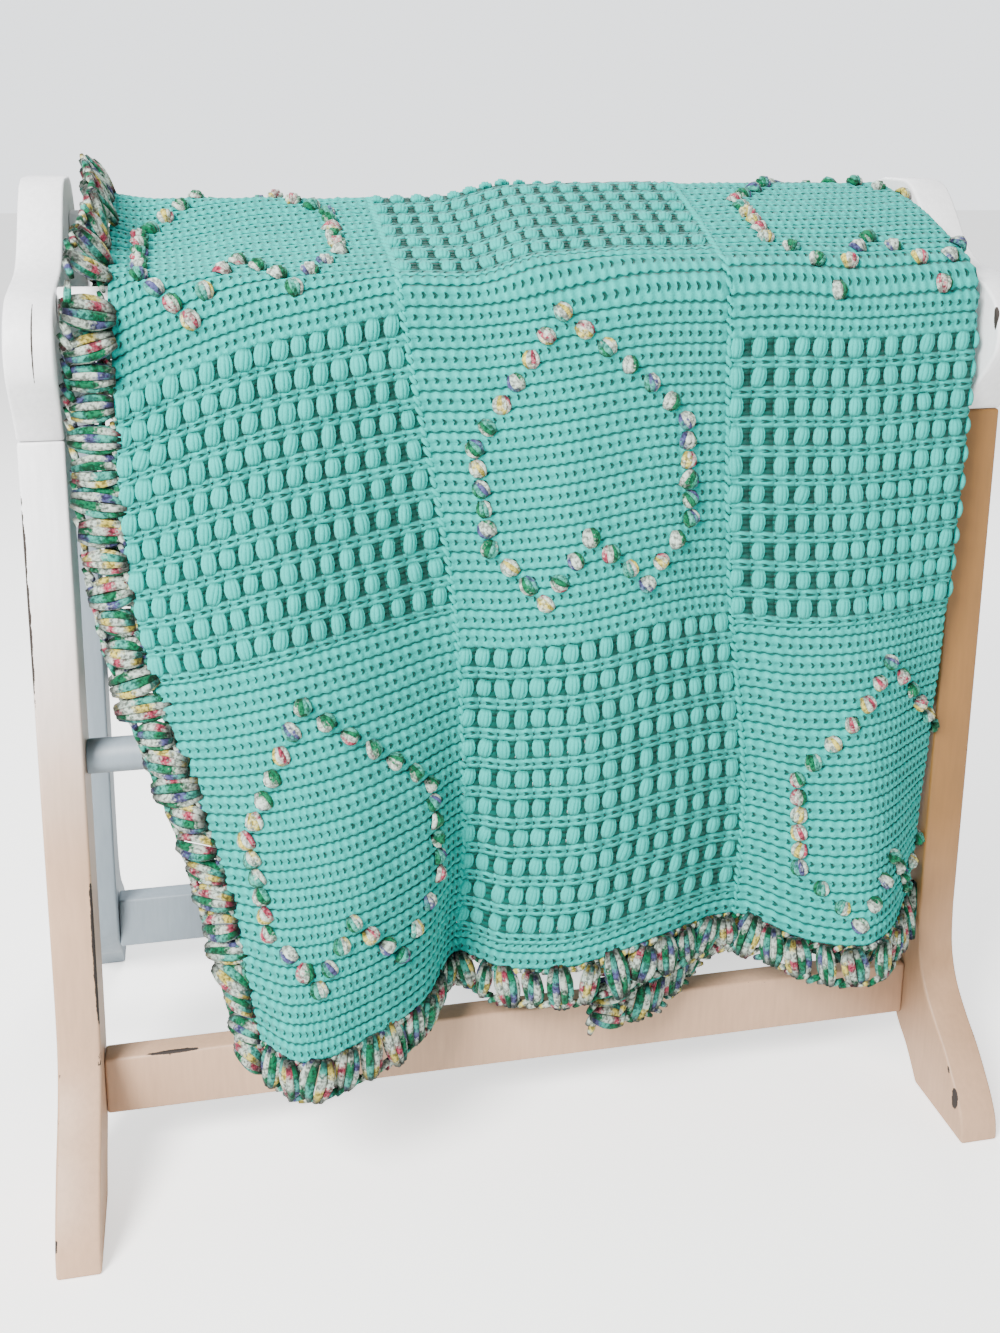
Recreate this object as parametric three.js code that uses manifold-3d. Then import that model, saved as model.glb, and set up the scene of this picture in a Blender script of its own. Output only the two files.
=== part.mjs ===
// A crocheted blanket folded lengthwise and hung over a wooden quilt rack.
// Millimetres, +Z up. The origin is on the floor under the middle of the rack,
// +X runs to the right and +Y to the back, so the side that is looked at faces -Y.

import * as THREE from 'three';
import { mergeVertices } from 'three/addons/utils/BufferGeometryUtils.js';
import Module from 'manifold-3d';

// ---- rack ----
const RACK_WIDTH = 800;
const RACK_HEIGHT = 827;
const BOARD = 34.5;          // thickness of the end boards
const LEG_SPAN = 310;        // over the straight parts of a front and a rear leg
const LEG_DEPTH = 56;
const HEAD_BASE = 641;       // glue joint between the legs and the head board
const JOINT = 0.4;           // gap left between two fitted pieces
const RAIL_RADIUS = 14;
const TOP_RAIL_Z = 786;
const SIDE_RAIL_Z = 740;
const SIDE_RAIL_Y = 147;
const DOWEL_Y = LEG_SPAN / 2 - LEG_DEPTH / 2;
const DOWEL_Z = 375;
const STRETCHER = { depth: 22, height: 52, y: 126.6, bottom: 52 };

// Half outline of the head board, from the middle of the top to the leg joint.
const HEAD_OUTLINE = [
  { reach: 20, z: RACK_HEIGHT },
  { reach: 34, z: 823 },
  { reach: 46, z: 814 },
  { reach: 60, z: 799 },
  { reach: 76, z: 780 },
  { reach: 93, z: 766 },
  { reach: 113, z: 759 },
  { reach: 146, z: 754 },
  { reach: 170, z: 749 },
  { reach: 188, z: 737 },
  { reach: 198, z: 719 },
  { reach: 197, z: 698 },
  { reach: 186, z: 681 },
  { reach: 169, z: 661 },
  { reach: LEG_SPAN / 2, z: HEAD_BASE },
];
// Outline of a leg's outer edge from its straight part to the sole, and of its inner edge back up.
const FOOT_OUTER = [
  { reach: 155, z: 172 },
  { reach: 158, z: 138 },
  { reach: 165, z: 116 },
  { reach: 177, z: 98 },
  { reach: 194, z: 82 },
  { reach: 213, z: 67 },
  { reach: 229, z: 51 },
  { reach: 243, z: 35 },
  { reach: 253, z: 18 },
  { reach: 256, z: 0 },
];
const FOOT_INNER = [
  { reach: 171, z: 0 },
  { reach: 150, z: 24 },
  { reach: 129, z: 41 },
  { reach: 111, z: 66 },
  { reach: 102, z: 93 },
  { reach: 99, z: 125 },
];

// ---- blanket ----
const CLOTH = 8;             // thickness of the crocheted cloth with its raised stitches
const STRIP = 250;           // width of one strip
const LENGTH = 1390;         // along a strip, hem to hem
const FOLD_AT = 700;         // distance from the left edge at which the blanket folds under
const LAYER_STEP = 11;       // from the middle of one layer to the middle of the next
const SEAM = 0.9;            // between two strips
const EDGE_GAP = 2.2;        // between a strip and its border
const ON_RAIL = RAIL_RADIUS + 3.4 + CLOTH / 2; // rail axis to the middle of the lowest layer

// The hanging shape, a row for each line that runs down the front of the blanket.
// across: distance from the left edge; over: cloth below the front rail; slip: how much lower the rows
// lie at the rail than the hem alone gives.
// x and out (how far the cloth stands off the plane in which it would hang) are given at six levels:
// top rail, half way up the slope, front rail, and 0.4, 0.75 and 1 of the way down to the hem.
const LEVEL = { top: 0, slope: 1, rail: 2, mid: 3, low: 4, hem: 5 };
const MID_DOWN = 0.4;
const LOW_DOWN = 0.75;
const SLOPE_UP = 0.55;
const DRAPE = [
  { across: 0, over: 588, slip: 45, x: [-331, -330, -328, -319, -262, -237], out: [4, 6, 2, 5, 22, 34] },
  { across: 45, over: 586, slip: 32, x: [-299, -298, -296, -279, -222, -208], out: [0, -6, 0, 20, 48, 72] },
  { across: 125, over: 580, slip: 14, x: [-232, -231, -228, -207, -164, -156], out: [0, -4, 0, 30, 58, 62] },
  { across: 190, over: 577, slip: 5, x: [-175, -173, -171, -143, -106, -104], out: [0, -2, 0, 15, 26, 24] },
  { across: 250, over: 576, slip: -4, x: [-119, -118, -116, -76, -63, -66], out: [0, 0, 0, -4, -16, -39] },
  { across: 300, over: 572, slip: 0, x: [-64, -64, -61, -30, -20, -28], out: [1, 1, 0, 8, 4, 0] },
  { across: 375, over: 559, slip: 4, x: [8, 7, 6, 34, 46, 36], out: [2, 3, 1, 16, 14, 14] },
  { across: 437, over: 550, slip: 5, x: [79, 77, 74, 94, 111, 102], out: [2, 3, 1, 9, 4, 2] },
  { across: 500, over: 554, slip: 0, x: [150, 146, 141, 153, 179, 184], out: [2, 3, 1, -4, -12, -28] },
  { across: 545, over: 563, slip: -10, x: [197, 196, 194, 207, 228, 238], out: [2, 5, 1, 3, 8, 14] },
  { across: 600, over: 556, slip: 0, x: [252, 250, 248, 262, 284, 287], out: [2, 6, 1, 9, 22, 38] },
  { across: FOLD_AT, over: 552, slip: 0, x: [350, 350, 350, 349, 356, 355], out: [3, 8, 2, 0, -24, -32] },
];
// Hem of the part that is folded under, which sags at its free corner.
const FOLDED_HEM = [
  { across: 416, over: 600 },
  { across: 458, over: 596 },
  { across: 500, over: 556 },
  { across: 540, over: 548 },
  { across: 620, over: 550 },
  { across: FOLD_AT, over: 552 },
];
const UNDER_RISE = { from: 300, to: 368 };   // where the upper layer rises over the folded part
const REAR_FOLD = { depth: 13, count: 2.5 }; // soft waves of the part that hangs behind

// Squares along the left, centre and right strips: the upper edge of the lowest heart square, from the
// front hem, and how far its hearts sit to the right of the middle of the strip.
const HEART_SQUARE = 300;
const OPEN_SQUARE = 240;
const SQUARES = [{ top: 324, aside: -6 }, { top: 594, aside: 0 }, { top: 284, aside: 4 }];
// A heart is a line of bobbles, one in every second row, with its point up.
const BOBBLE = { step: 15.3, row: 16.2, radius: 7.5, height: 7, sunk: 2.5, sides: 4 };
const HEART = { widest: 89, straightRow: 11, tipRow: 14, margin: 37 };

// Border of fat puff stitches crocheted on all round.
const RUFFLE = { reach: 33, pitch: 18.5, groove: 0.6 };
const LEAN = (50 * Math.PI) / 180;  // of the left border where it stands up against the head board

const wasm = await Module();
wasm.setup();

const group = new THREE.Group();
const paint = new THREE.MeshStandardMaterial({ color: 0xdfd4c5, roughness: 0.6, metalness: 0 });
const mint = new THREE.MeshStandardMaterial({ color: 0x6fd8b8, roughness: 0.95, metalness: 0 });
const mixed = new THREE.MeshStandardMaterial({ color: 0x9cb89c, roughness: 0.95, metalness: 0 });

function add(name, geometry, material) {
  const mesh = new THREE.Mesh(geometry, material);
  mesh.name = name;
  group.add(mesh);
  return mesh;
}

// ---- rack pieces ----

// A board cut to an outline in the Y-Z plane.
function board(name, outline, left) {
  const geometry = new THREE.ExtrudeGeometry(new THREE.Shape(outline), { depth: BOARD, bevelEnabled: false });
  const mesh = add(name, geometry, paint);
  const turn = new THREE.Matrix4().makeBasis(
    new THREE.Vector3(0, 1, 0), new THREE.Vector3(0, 0, 1), new THREE.Vector3(1, 0, 0));
  mesh.quaternion.setFromRotationMatrix(turn);
  mesh.position.x = left ? -RACK_WIDTH / 2 : RACK_WIDTH / 2 - BOARD;
}

function smooth(rows, points) {
  const curve = new THREE.SplineCurve(rows.map((row) => new THREE.Vector2(row.reach, row.z)));
  return curve.getPoints(points);
}

function headOutline() {
  const half = smooth(HEAD_OUTLINE, 26);
  const rear = half.slice().reverse();
  return [...half.map((p) => new THREE.Vector2(-p.x, p.y)), ...rear];
}

function legOutline(side) {
  const top = HEAD_BASE - JOINT;
  const inner = LEG_SPAN / 2 - LEG_DEPTH;
  const points = [
    new THREE.Vector2(LEG_SPAN / 2, top),
    ...smooth(FOOT_OUTER, 15),
    ...smooth(FOOT_INNER, 9),
    new THREE.Vector2(inner, top),
  ];
  return points.map((p) => new THREE.Vector2(side * p.x, p.y));
}

for (const [side, left] of [['left', true], ['right', false]]) {
  board(`head_board_${side}`, headOutline(), left);
  board(`leg_front_${side}`, legOutline(-1), left);
  board(`leg_rear_${side}`, legOutline(1), left);
}

const INSIDE = RACK_WIDTH - 2 * BOARD - 2 * JOINT;
const RAILS = [
  { name: 'rail_top', y: 0, z: TOP_RAIL_Z },
  { name: 'rail_front', y: -SIDE_RAIL_Y, z: SIDE_RAIL_Z },
  { name: 'rail_rear', y: SIDE_RAIL_Y, z: SIDE_RAIL_Z },
  { name: 'dowel_front', y: -DOWEL_Y, z: DOWEL_Z },
  { name: 'dowel_rear', y: DOWEL_Y, z: DOWEL_Z },
];
for (const rail of RAILS) {
  const mesh = add(rail.name, new THREE.CylinderGeometry(RAIL_RADIUS, RAIL_RADIUS, INSIDE, 16), paint);
  mesh.rotation.z = Math.PI / 2;
  mesh.position.set(0, rail.y, rail.z);
}
for (const [name, side] of [['stretcher_front', -1], ['stretcher_rear', 1]]) {
  const mesh = add(name, new THREE.BoxGeometry(INSIDE, STRETCHER.depth, STRETCHER.height), paint);
  mesh.position.set(0, side * STRETCHER.y, STRETCHER.bottom + STRETCHER.height / 2);
}

// ---- surface on which the blanket hangs ----

const RISE = TOP_RAIL_Z - SIDE_RAIL_Z;
const PITCH = Math.atan2(RISE, SIDE_RAIL_Y);
const SLOPE = Math.hypot(RISE, SIDE_RAIL_Y);
const BEND = ON_RAIL * (Math.PI / 2 - PITCH);
const CREST = BEND + SLOPE + ON_RAIL * PITCH;   // from the front rail's level to the top of the rack

// Path of the lowest layer over the rails, by the distance up from the level of the front rail,
// with the direction away from the rack.
function path(s) {
  if (s > CREST) {
    const front = path(2 * CREST - s);
    return { y: -front.y, z: front.z, ny: -front.ny, nz: front.nz };
  }
  const turn = s <= 0 ? 0
    : s < BEND ? s / ON_RAIL
      : s < BEND + SLOPE ? Math.PI / 2 - PITCH
        : (s - SLOPE) / ON_RAIL;
  const along = Math.min(Math.max(s - BEND, 0), SLOPE);
  const ny = -Math.cos(turn);
  const nz = Math.sin(turn);
  return {
    y: -SIDE_RAIL_Y + along * Math.cos(PITCH) + ON_RAIL * ny,
    z: SIDE_RAIL_Z + along * Math.sin(PITCH) + ON_RAIL * nz + Math.min(s, 0),
    ny,
    nz,
  };
}

// Smooth curve through the values ys at the places xs.
function curve(xs, ys, x) {
  const last = xs.length - 1;
  const at = Math.min(Math.max(x, xs[0]), xs[last]);
  let k = 0;
  while (k < last - 1 && at > xs[k + 1]) k += 1;
  const slope = (i) => {
    const a = Math.max(i - 1, 0);
    const b = Math.min(i + 1, last);
    return (ys[b] - ys[a]) / (xs[b] - xs[a]);
  };
  const width = xs[k + 1] - xs[k];
  const t = (at - xs[k]) / width;
  const t2 = t * t;
  const t3 = t2 * t;
  return (2 * t3 - 3 * t2 + 1) * ys[k] + (t3 - 2 * t2 + t) * width * slope(k)
    + (3 * t2 - 2 * t3) * ys[k + 1] + (t3 - t2) * width * slope(k + 1);
}

function ramp(from, to, value) {
  const t = Math.min(Math.max((value - from) / (to - from), 0), 1);
  return t * t * (3 - 2 * t);
}

const acrossRows = DRAPE.map((row) => row.across);
const levelAt = (key, level, q) => curve(acrossRows, DRAPE.map((row) => row[key][level]), q);
const over = (q) => curve(acrossRows, DRAPE.map((row) => row.over), q);
const slip = (q) => curve(acrossRows, DRAPE.map((row) => row.slip), q);
const foldedOver = (q) => curve(FOLDED_HEM.map((row) => row.across), FOLDED_HEM.map((row) => row.over), q);

// Value of x or out at the distance q across and s along.
function drape(key, q, s) {
  const { hem, low, mid, rail, slope, top } = LEVEL;
  const places = [-1, -LOW_DOWN, -MID_DOWN, 0, BEND / CREST, SLOPE_UP, (BEND + SLOPE) / CREST, 1];
  const levels = [hem, low, mid, rail, rail, slope, top, top];
  const front = s > CREST ? 2 * CREST - s : s;
  const place = front < 0 ? front / over(q) : front / CREST;
  if (s > CREST && front < 0) {
    if (key === 'x') return levelAt('x', LEVEL.rail, q);
    const waves = Math.sin((q / FOLD_AT) * REAR_FOLD.count * 2 * Math.PI);
    return levelAt('out', LEVEL.rail, q) + REAR_FOLD.depth * ramp(0, 420, -front) * waves;
  }
  return curve(places, levels.map((level) => levelAt(key, level, q)), place);
}

// Middle of the upper layer.
function middle(q, s) {
  const p = path(s);
  const off = LAYER_STEP * ramp(UNDER_RISE.from, UNDER_RISE.to, q) + drape('out', q, s);
  return new THREE.Vector3(drape('x', q, s), p.y + p.ny * off, p.z + p.nz * off);
}

// Frame of the upper layer at (q, s): its point, the direction across to the right, the direction
// along the strip towards the top, and the normal away from the rack.
function frameAt(q, s) {
  const point = middle(q, s);
  const step = 1.5;
  const across = middle(Math.min(q + step, FOLD_AT), s).sub(middle(Math.max(q - step, 0), s)).normalize();
  const along = middle(q, s + step).sub(middle(q, s - step)).normalize();
  const normal = across.clone().cross(along).normalize();
  return { point, across, along, normal };
}

// ---- strips ----

const FRONT_STEPS = [1, 0.93, 0.85, 0.76, 0.66, 0.55, 0.43, 0.3, 0.17, 0.06];
const TOP_STEPS = [0, 0.25, 0.5, 0.75, 1];
const REAR_STEPS = [0.1, 0.3, 0.5, 0.7, 0.86, 1];

// Places along a strip, from the front hem to the rear hem, which hang below the rails.
function placesAlong({ hang, rearHem }) {
  const front = FRONT_STEPS.map((f) => -f * hang);
  const bend = TOP_STEPS.map((f) => f * BEND);
  const slope = [0.36, 0.7].map((f) => BEND + f * SLOPE);
  const half = [...bend, ...slope, CREST - ON_RAIL * PITCH];
  const top = [...half, CREST, ...half.slice().reverse().map((s) => 2 * CREST - s)];
  const rear = REAR_STEPS.map((f) => 2 * CREST + f * (rearHem - 2 * CREST));
  return [...front, ...top, ...rear];
}

// Ends of the cloth at q across, with the given length below the front rail.
const ends = (hang, q) => ({ hang, rearHem: LENGTH - hang - slip(q) });

// Sections across a strip: each gives the middle of the cloth and its facing direction for a place s.
// A seam shifts a section a little sideways, so that two strips meet along one line.
function upper(q, shift = 0) {
  return {
    ...ends(over(q), q),
    at: (s) => {
      const f = frameAt(q, s);
      const point = f.point.clone().addScaledVector(f.across, shift);
      return { point, facing: f.normal, side: f.across, along: f.along };
    },
  };
}
function turned(angle) {
  const radius = LAYER_STEP / 2;
  return {
    ...ends(over(FOLD_AT), FOLD_AT),
    at: (s) => {
      const f = frameAt(FOLD_AT, s);
      const facing = f.normal.clone().multiplyScalar(Math.cos(angle)).addScaledVector(f.across, Math.sin(angle));
      const side = f.across.clone().multiplyScalar(Math.cos(angle)).addScaledVector(f.normal, -Math.sin(angle));
      const point = f.point.clone().addScaledVector(f.normal, -radius).addScaledVector(facing, radius);
      return { point, facing, side, along: f.along };
    },
  };
}
function under(q, shift = 0) {
  return {
    ...ends(foldedOver(q), q),
    at: (s) => {
      const f = frameAt(q, s);
      const point = f.point.clone().addScaledVector(f.normal, -LAYER_STEP).addScaledVector(f.across, shift);
      return { point, facing: f.normal.clone().negate(), side: f.across.clone().negate(), along: f.along };
    },
  };
}

function geometryOf(positions, faces) {
  const geometry = new THREE.BufferGeometry();
  geometry.setAttribute('position', new THREE.Float32BufferAttribute(positions.flatMap((p) => [p.x, p.y, p.z]), 3));
  geometry.setIndex(faces.flat());
  return geometry;
}

function sheet(sections) {
  const columns = sections.length;
  const faceUp = [];
  const faceDown = [];
  sections.forEach((section) => {
    const places = placesAlong(section);
    faceUp.push(places.map((s) => {
      const f = section.at(s);
      return f.point.addScaledVector(f.facing, CLOTH / 2);
    }));
    faceDown.push(places.map((s) => {
      const f = section.at(s);
      return f.point.addScaledVector(f.facing, -CLOTH / 2);
    }));
  });
  const rows = faceUp[0].length;
  const positions = [...faceUp.flat(), ...faceDown.flat()];
  const up = (i, j) => i * rows + j;
  const down = (i, j) => columns * rows + i * rows + j;
  const faces = [];
  const quad = (a, b, c, d) => faces.push([a, b, c], [a, c, d]);
  for (let i = 0; i < columns - 1; i += 1) {
    for (let j = 0; j < rows - 1; j += 1) {
      quad(up(i, j), up(i + 1, j), up(i + 1, j + 1), up(i, j + 1));
      quad(down(i, j), down(i, j + 1), down(i + 1, j + 1), down(i + 1, j));
    }
    quad(down(i, 0), down(i + 1, 0), up(i + 1, 0), up(i, 0));
    quad(up(i, rows - 1), up(i + 1, rows - 1), down(i + 1, rows - 1), down(i, rows - 1));
  }
  for (let j = 0; j < rows - 1; j += 1) {
    quad(up(0, j), up(0, j + 1), down(0, j + 1), down(0, j));
    quad(down(columns - 1, j), down(columns - 1, j + 1), up(columns - 1, j + 1), up(columns - 1, j));
  }
  return { geometry: geometryOf(positions, faces), faceUp };
}

// Places of a heart's bobbles: sideways from the middle of the square and rows below its point.
function heartChart() {
  const chart = [];
  const both = (side, row) => chart.push({ side, row }, { side: -side, row });
  chart.push({ side: 0, row: 0 });
  for (let row = 1; row <= HEART.straightRow; row += 1) both(Math.min(row * BOBBLE.step, HEART.widest), row);
  chart.push({ side: 0, row: HEART.straightRow });
  for (let row = HEART.straightRow + 1; row < HEART.tipRow; row += 1) {
    const past = (row - HEART.straightRow) * BOBBLE.step;
    both(HEART.widest - past, row);
    both(past, row);
  }
  both(HEART.widest / 2, HEART.tipRow);
  return chart;
}

// Distance from the front hem to the upper edge of each heart square that starts on the front.
function heartTops(lowest) {
  const tops = [];
  for (let top = lowest; top - HEART_SQUARE < over(0) + CREST; top += HEART_SQUARE + OPEN_SQUARE) {
    tops.push(top);
  }
  return tops;
}

function toManifold(geometry) {
  const merged = mergeVertices(new THREE.BufferGeometry()
    .setAttribute('position', geometry.getAttribute('position'))
    .setIndex(geometry.getIndex()));
  return new wasm.Manifold(new wasm.Mesh({
    numProp: 3,
    vertProperties: new Float32Array(merged.getAttribute('position').array),
    triVerts: new Uint32Array(merged.getIndex().array),
  }));
}

function fromManifold(solid) {
  const mesh = solid.getMesh();
  const geometry = new THREE.BufferGeometry();
  geometry.setAttribute('position', new THREE.Float32BufferAttribute(mesh.vertProperties, 3));
  geometry.setIndex([...mesh.triVerts]);
  return geometry;
}

// Point and normal on the faceted outer face of a sheet.
function onFace(faceUp, columns, places, q, s) {
  let i = 0;
  while (i < columns.length - 2 && q > columns[i + 1]) i += 1;
  const a = (q - columns[i]) / (columns[i + 1] - columns[i]);
  const edge = places(i, a);
  let j = 0;
  while (j < edge.length - 2 && s > edge[j + 1]) j += 1;
  const b = (s - edge[j]) / (edge[j + 1] - edge[j]);
  const low = faceUp[i][j].clone().lerp(faceUp[i + 1][j], a);
  const high = faceUp[i][j + 1].clone().lerp(faceUp[i + 1][j + 1], a);
  return { point: low.clone().lerp(high, b), normal: frameAt(q, s).normal };
}

function withHearts(made, columns, strip) {
  let solid = toManifold(made.geometry);
  const places = (i, a) => {
    const near = placesAlong(upper(columns[i]));
    const far = placesAlong(upper(columns[i + 1]));
    return near.map((s, k) => s * (1 - a) + far[k] * a);
  };
  const { top: lowest, aside } = SQUARES[strip];
  const centre = strip * STRIP + STRIP / 2 + aside;
  const knobs = [];
  for (const top of heartTops(lowest)) {
    for (const { side, row } of heartChart()) {
      const q = centre + side;
      if (q > FOLD_AT - BOBBLE.radius) continue;
      const v = top - HEART.margin - row * BOBBLE.row;
      const s = v - over(q) - slip(q) * Math.min(v / over(q), 1);
      const { point, normal } = onFace(made.faceUp, columns, places, q, s);
      const knob = new THREE.CylinderGeometry(BOBBLE.radius * 0.55, BOBBLE.radius,
        BOBBLE.height + BOBBLE.sunk, BOBBLE.sides);
      knob.applyQuaternion(new THREE.Quaternion().setFromUnitVectors(new THREE.Vector3(0, 1, 0), normal));
      const lift = point.addScaledVector(normal, (BOBBLE.height - BOBBLE.sunk) / 2);
      knob.translate(lift.x, lift.y, lift.z);
      knobs.push(toManifold(knob));
    }
  }
  for (const knob of knobs) solid = solid.add(knob);
  return fromManifold(solid);
}

function between(from, to, count) {
  return Array.from({ length: count + 1 }, (_, k) => from + ((to - from) * k) / count);
}

const STRIP_COLUMNS = 6;
const leftColumns = between(0, STRIP, STRIP_COLUMNS);
const centreColumns = between(STRIP, 2 * STRIP, STRIP_COLUMNS);
const rightColumns = between(2 * STRIP, FOLD_AT, 5);

// Sections of the upper layer, drawn in by half a seam at the ends that meet another strip.
function seamed(columns, atStart, atEnd) {
  const last = columns.length - 1;
  return columns.map((q, i) => upper(q, i === 0 && atStart ? SEAM / 2 : i === last && atEnd ? -SEAM / 2 : 0));
}

add('strip_left', withHearts(sheet(seamed(leftColumns, false, true)), leftColumns, 0), mint);
add('strip_centre', withHearts(sheet(seamed(centreColumns, true, true)), centreColumns, 1), mint);

// The right strip turns under at the fold and ends a little way back; the fourth strip follows it.
const TURN_LENGTH = (Math.PI * LAYER_STEP) / 2;
const RIGHT_END = FOLD_AT - (STRIP - (FOLD_AT - 2 * STRIP) - TURN_LENGTH);
const rightSections = [
  ...seamed(rightColumns, true, false),
  ...[0.25, 0.5, 0.75].map((f) => turned(f * Math.PI)),
  under(FOLD_AT),
  under(RIGHT_END, SEAM / 2),
];
add('strip_right', withHearts(sheet(rightSections), rightColumns, 2), mint);

const foldedColumns = [...rightColumns.slice(1, -1), ...centreColumns.slice(-3)]
  .sort((a, b) => b - a)
  .filter((q, i, all) => q !== all[i - 1]);
const foldedSections = [under(RIGHT_END, -SEAM / 2), ...foldedColumns.map((q) => under(q))];
const FOLDED_EDGE = foldedColumns[foldedColumns.length - 1];
add('strip_folded', sheet(foldedSections).geometry, mint);

// ---- border ----

// Tube of puff stitches along an edge. Each ring has its point on the edge, the direction in which the
// border stands out, and its facing; thick gives how far it swells to the back and to the front.
function ruffle(name, rings) {
  const positions = [];
  const sides = 6;
  rings.forEach(({ point, outward, facing, back, front, reach }) => {
    const section = [
      [EDGE_GAP, -back * 0.55], [EDGE_GAP, front * 0.55],
      [EDGE_GAP + reach * 0.45, front], [EDGE_GAP + reach, front * 0.5],
      [EDGE_GAP + reach, -back * 0.5], [EDGE_GAP + reach * 0.45, -back],
    ];
    section.forEach(([o, n]) => {
      positions.push(point.clone().addScaledVector(outward, o).addScaledVector(facing, n));
    });
  });
  const faces = [];
  const id = (ring, k) => ring * sides + (k % sides);
  for (let r = 0; r < rings.length - 1; r += 1) {
    for (let k = 0; k < sides; k += 1) {
      faces.push([id(r, k), id(r, k + 1), id(r + 1, k + 1)], [id(r, k), id(r + 1, k + 1), id(r + 1, k)]);
    }
  }
  const end = rings.length - 1;
  for (let k = 1; k < sides - 1; k += 1) {
    faces.push([id(0, 0), id(0, k + 1), id(0, k)], [id(end, 0), id(end, k), id(end, k + 1)]);
  }
  const geometry = geometryOf(positions, faces);
  if (volume(positions, faces) < 0) geometry.setIndex(faces.flatMap(([a, b, c]) => [a, c, b]));
  add(name, geometry, mixed);
}

function volume(positions, faces) {
  return faces.reduce((sum, [a, b, c]) => sum
    + positions[a].dot(positions[b].clone().cross(positions[c])), 0);
}

// Frames at even steps along the straight lines between the given frames, so that the border keeps
// its distance to the edge of the sheet. Puffs and the grooves between them take turns.
function evenly(frames, pitch) {
  const reached = [0];
  for (let i = 1; i < frames.length; i += 1) {
    reached.push(reached[i - 1] + frames[i].point.distanceTo(frames[i - 1].point));
  }
  const total = reached[reached.length - 1];
  const count = Math.round(total / pitch) * 2;
  return between(0, total, count).map((distance, k) => {
    let i = 0;
    while (i < frames.length - 2 && distance > reached[i + 1]) i += 1;
    const t = (distance - reached[i]) / (reached[i + 1] - reached[i]);
    const mix = (key) => frames[i][key].clone().lerp(frames[i + 1][key], t);
    const size = k % 2 ? 1 : RUFFLE.groove;
    const thick = (key) => (frames[i][key] * (1 - t) + frames[i + 1][key] * t) * size;
    return {
      point: mix('point'),
      outward: mix('outward').normalize(),
      facing: mix('facing').normalize(),
      back: thick('back'),
      front: thick('front'),
      reach: RUFFLE.reach * (k % 2 ? 1 : 0.9),
    };
  });
}

// Edge of a hem at the front or rear end of each section.
function hemFrames(sections, rear, back, front) {
  return sections.map((section, i) => {
    const f = section.at(rear ? section.rearHem : -section.hang);
    const outward = f.along.clone().multiplyScalar(rear ? 1 : -1);
    return { point: f.point, outward, facing: f.facing, back: back(i), front: front(i) };
  });
}

// Border along a side edge, from hem to hem with both corners. It leans up where it is pressed
// between the cloth and the head board.
function sideFrames(section, edge, lean, back, front) {
  const places = placesAlong(section);
  const below = -section.hang - RUFFLE.reach;
  return [below, ...places, section.rearHem + RUFFLE.reach].map((s) => {
    const held = Math.min(Math.max(s, -section.hang), section.rearHem);
    const f = section.at(held);
    const tilt = lean * (ramp(-60, 120, s) - ramp(2 * CREST - 120, 2 * CREST + 60, s));
    const flat = f.side.clone().multiplyScalar(edge);
    const point = f.point.addScaledVector(f.along, s - held)
      .addScaledVector(flat, front(s) * 0.6 * Math.sin(tilt));
    return {
      point,
      outward: flat.clone().applyAxisAngle(f.along, -edge * tilt),
      facing: f.facing.clone().applyAxisAngle(f.along, -edge * tilt),
      back: back(s),
      front: front(s),
    };
  });
}

const upperColumns = [...leftColumns, ...centreColumns.slice(1), ...rightColumns.slice(1)];
const hemSections = [...upperColumns.map((q) => upper(q)), ...[0.25, 0.5, 0.75, 1].map((f) => turned(f * Math.PI))];
const doubled = (i) => (i < upperColumns.length ? ramp(UNDER_RISE.from, UNDER_RISE.to, upperColumns[i]) : 1);
const hemBack = (i) => 9 - 7.5 * doubled(i);
const hemFront = (i) => 9 + (i < upperColumns.length ? 4 : 1) * doubled(i);
const nearRails = (s) => ramp(-40, 0, s) - ramp(2 * CREST, 2 * CREST + 40, s);

ruffle('ruffle_left', evenly(sideFrames(upper(0), -1, LEAN, (s) => 8 - 4.5 * nearRails(s),
  (s) => 10 + 3 * nearRails(s)), RUFFLE.pitch));
ruffle('ruffle_front', evenly(hemFrames(hemSections, false, hemBack, hemFront), RUFFLE.pitch));
ruffle('ruffle_rear', evenly(hemFrames(hemSections, true, hemBack, hemFront), RUFFLE.pitch * 1.2));
ruffle('ruffle_folded_front', evenly(hemFrames(foldedSections, false, () => 4, () => 8), RUFFLE.pitch * 1.3));
ruffle('ruffle_folded_rear', evenly(hemFrames(foldedSections, true, () => 4, () => 8), RUFFLE.pitch * 1.5));
ruffle('ruffle_folded_side', sideFrames(under(FOLDED_EDGE), 1, 0, () => 3, () => 3.8)
  .map((frame) => ({ ...frame, reach: RUFFLE.reach })));

export default group;
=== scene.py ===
"""A crocheted blanket folded lengthwise and hung over a painted wooden quilt rack.

Metres, +Z up, +X to the right, +Y to the back. The origin is on the floor under the rack.
"""
import math

import bmesh
import bpy
import numpy as np
from mathutils import Matrix, Vector


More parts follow.
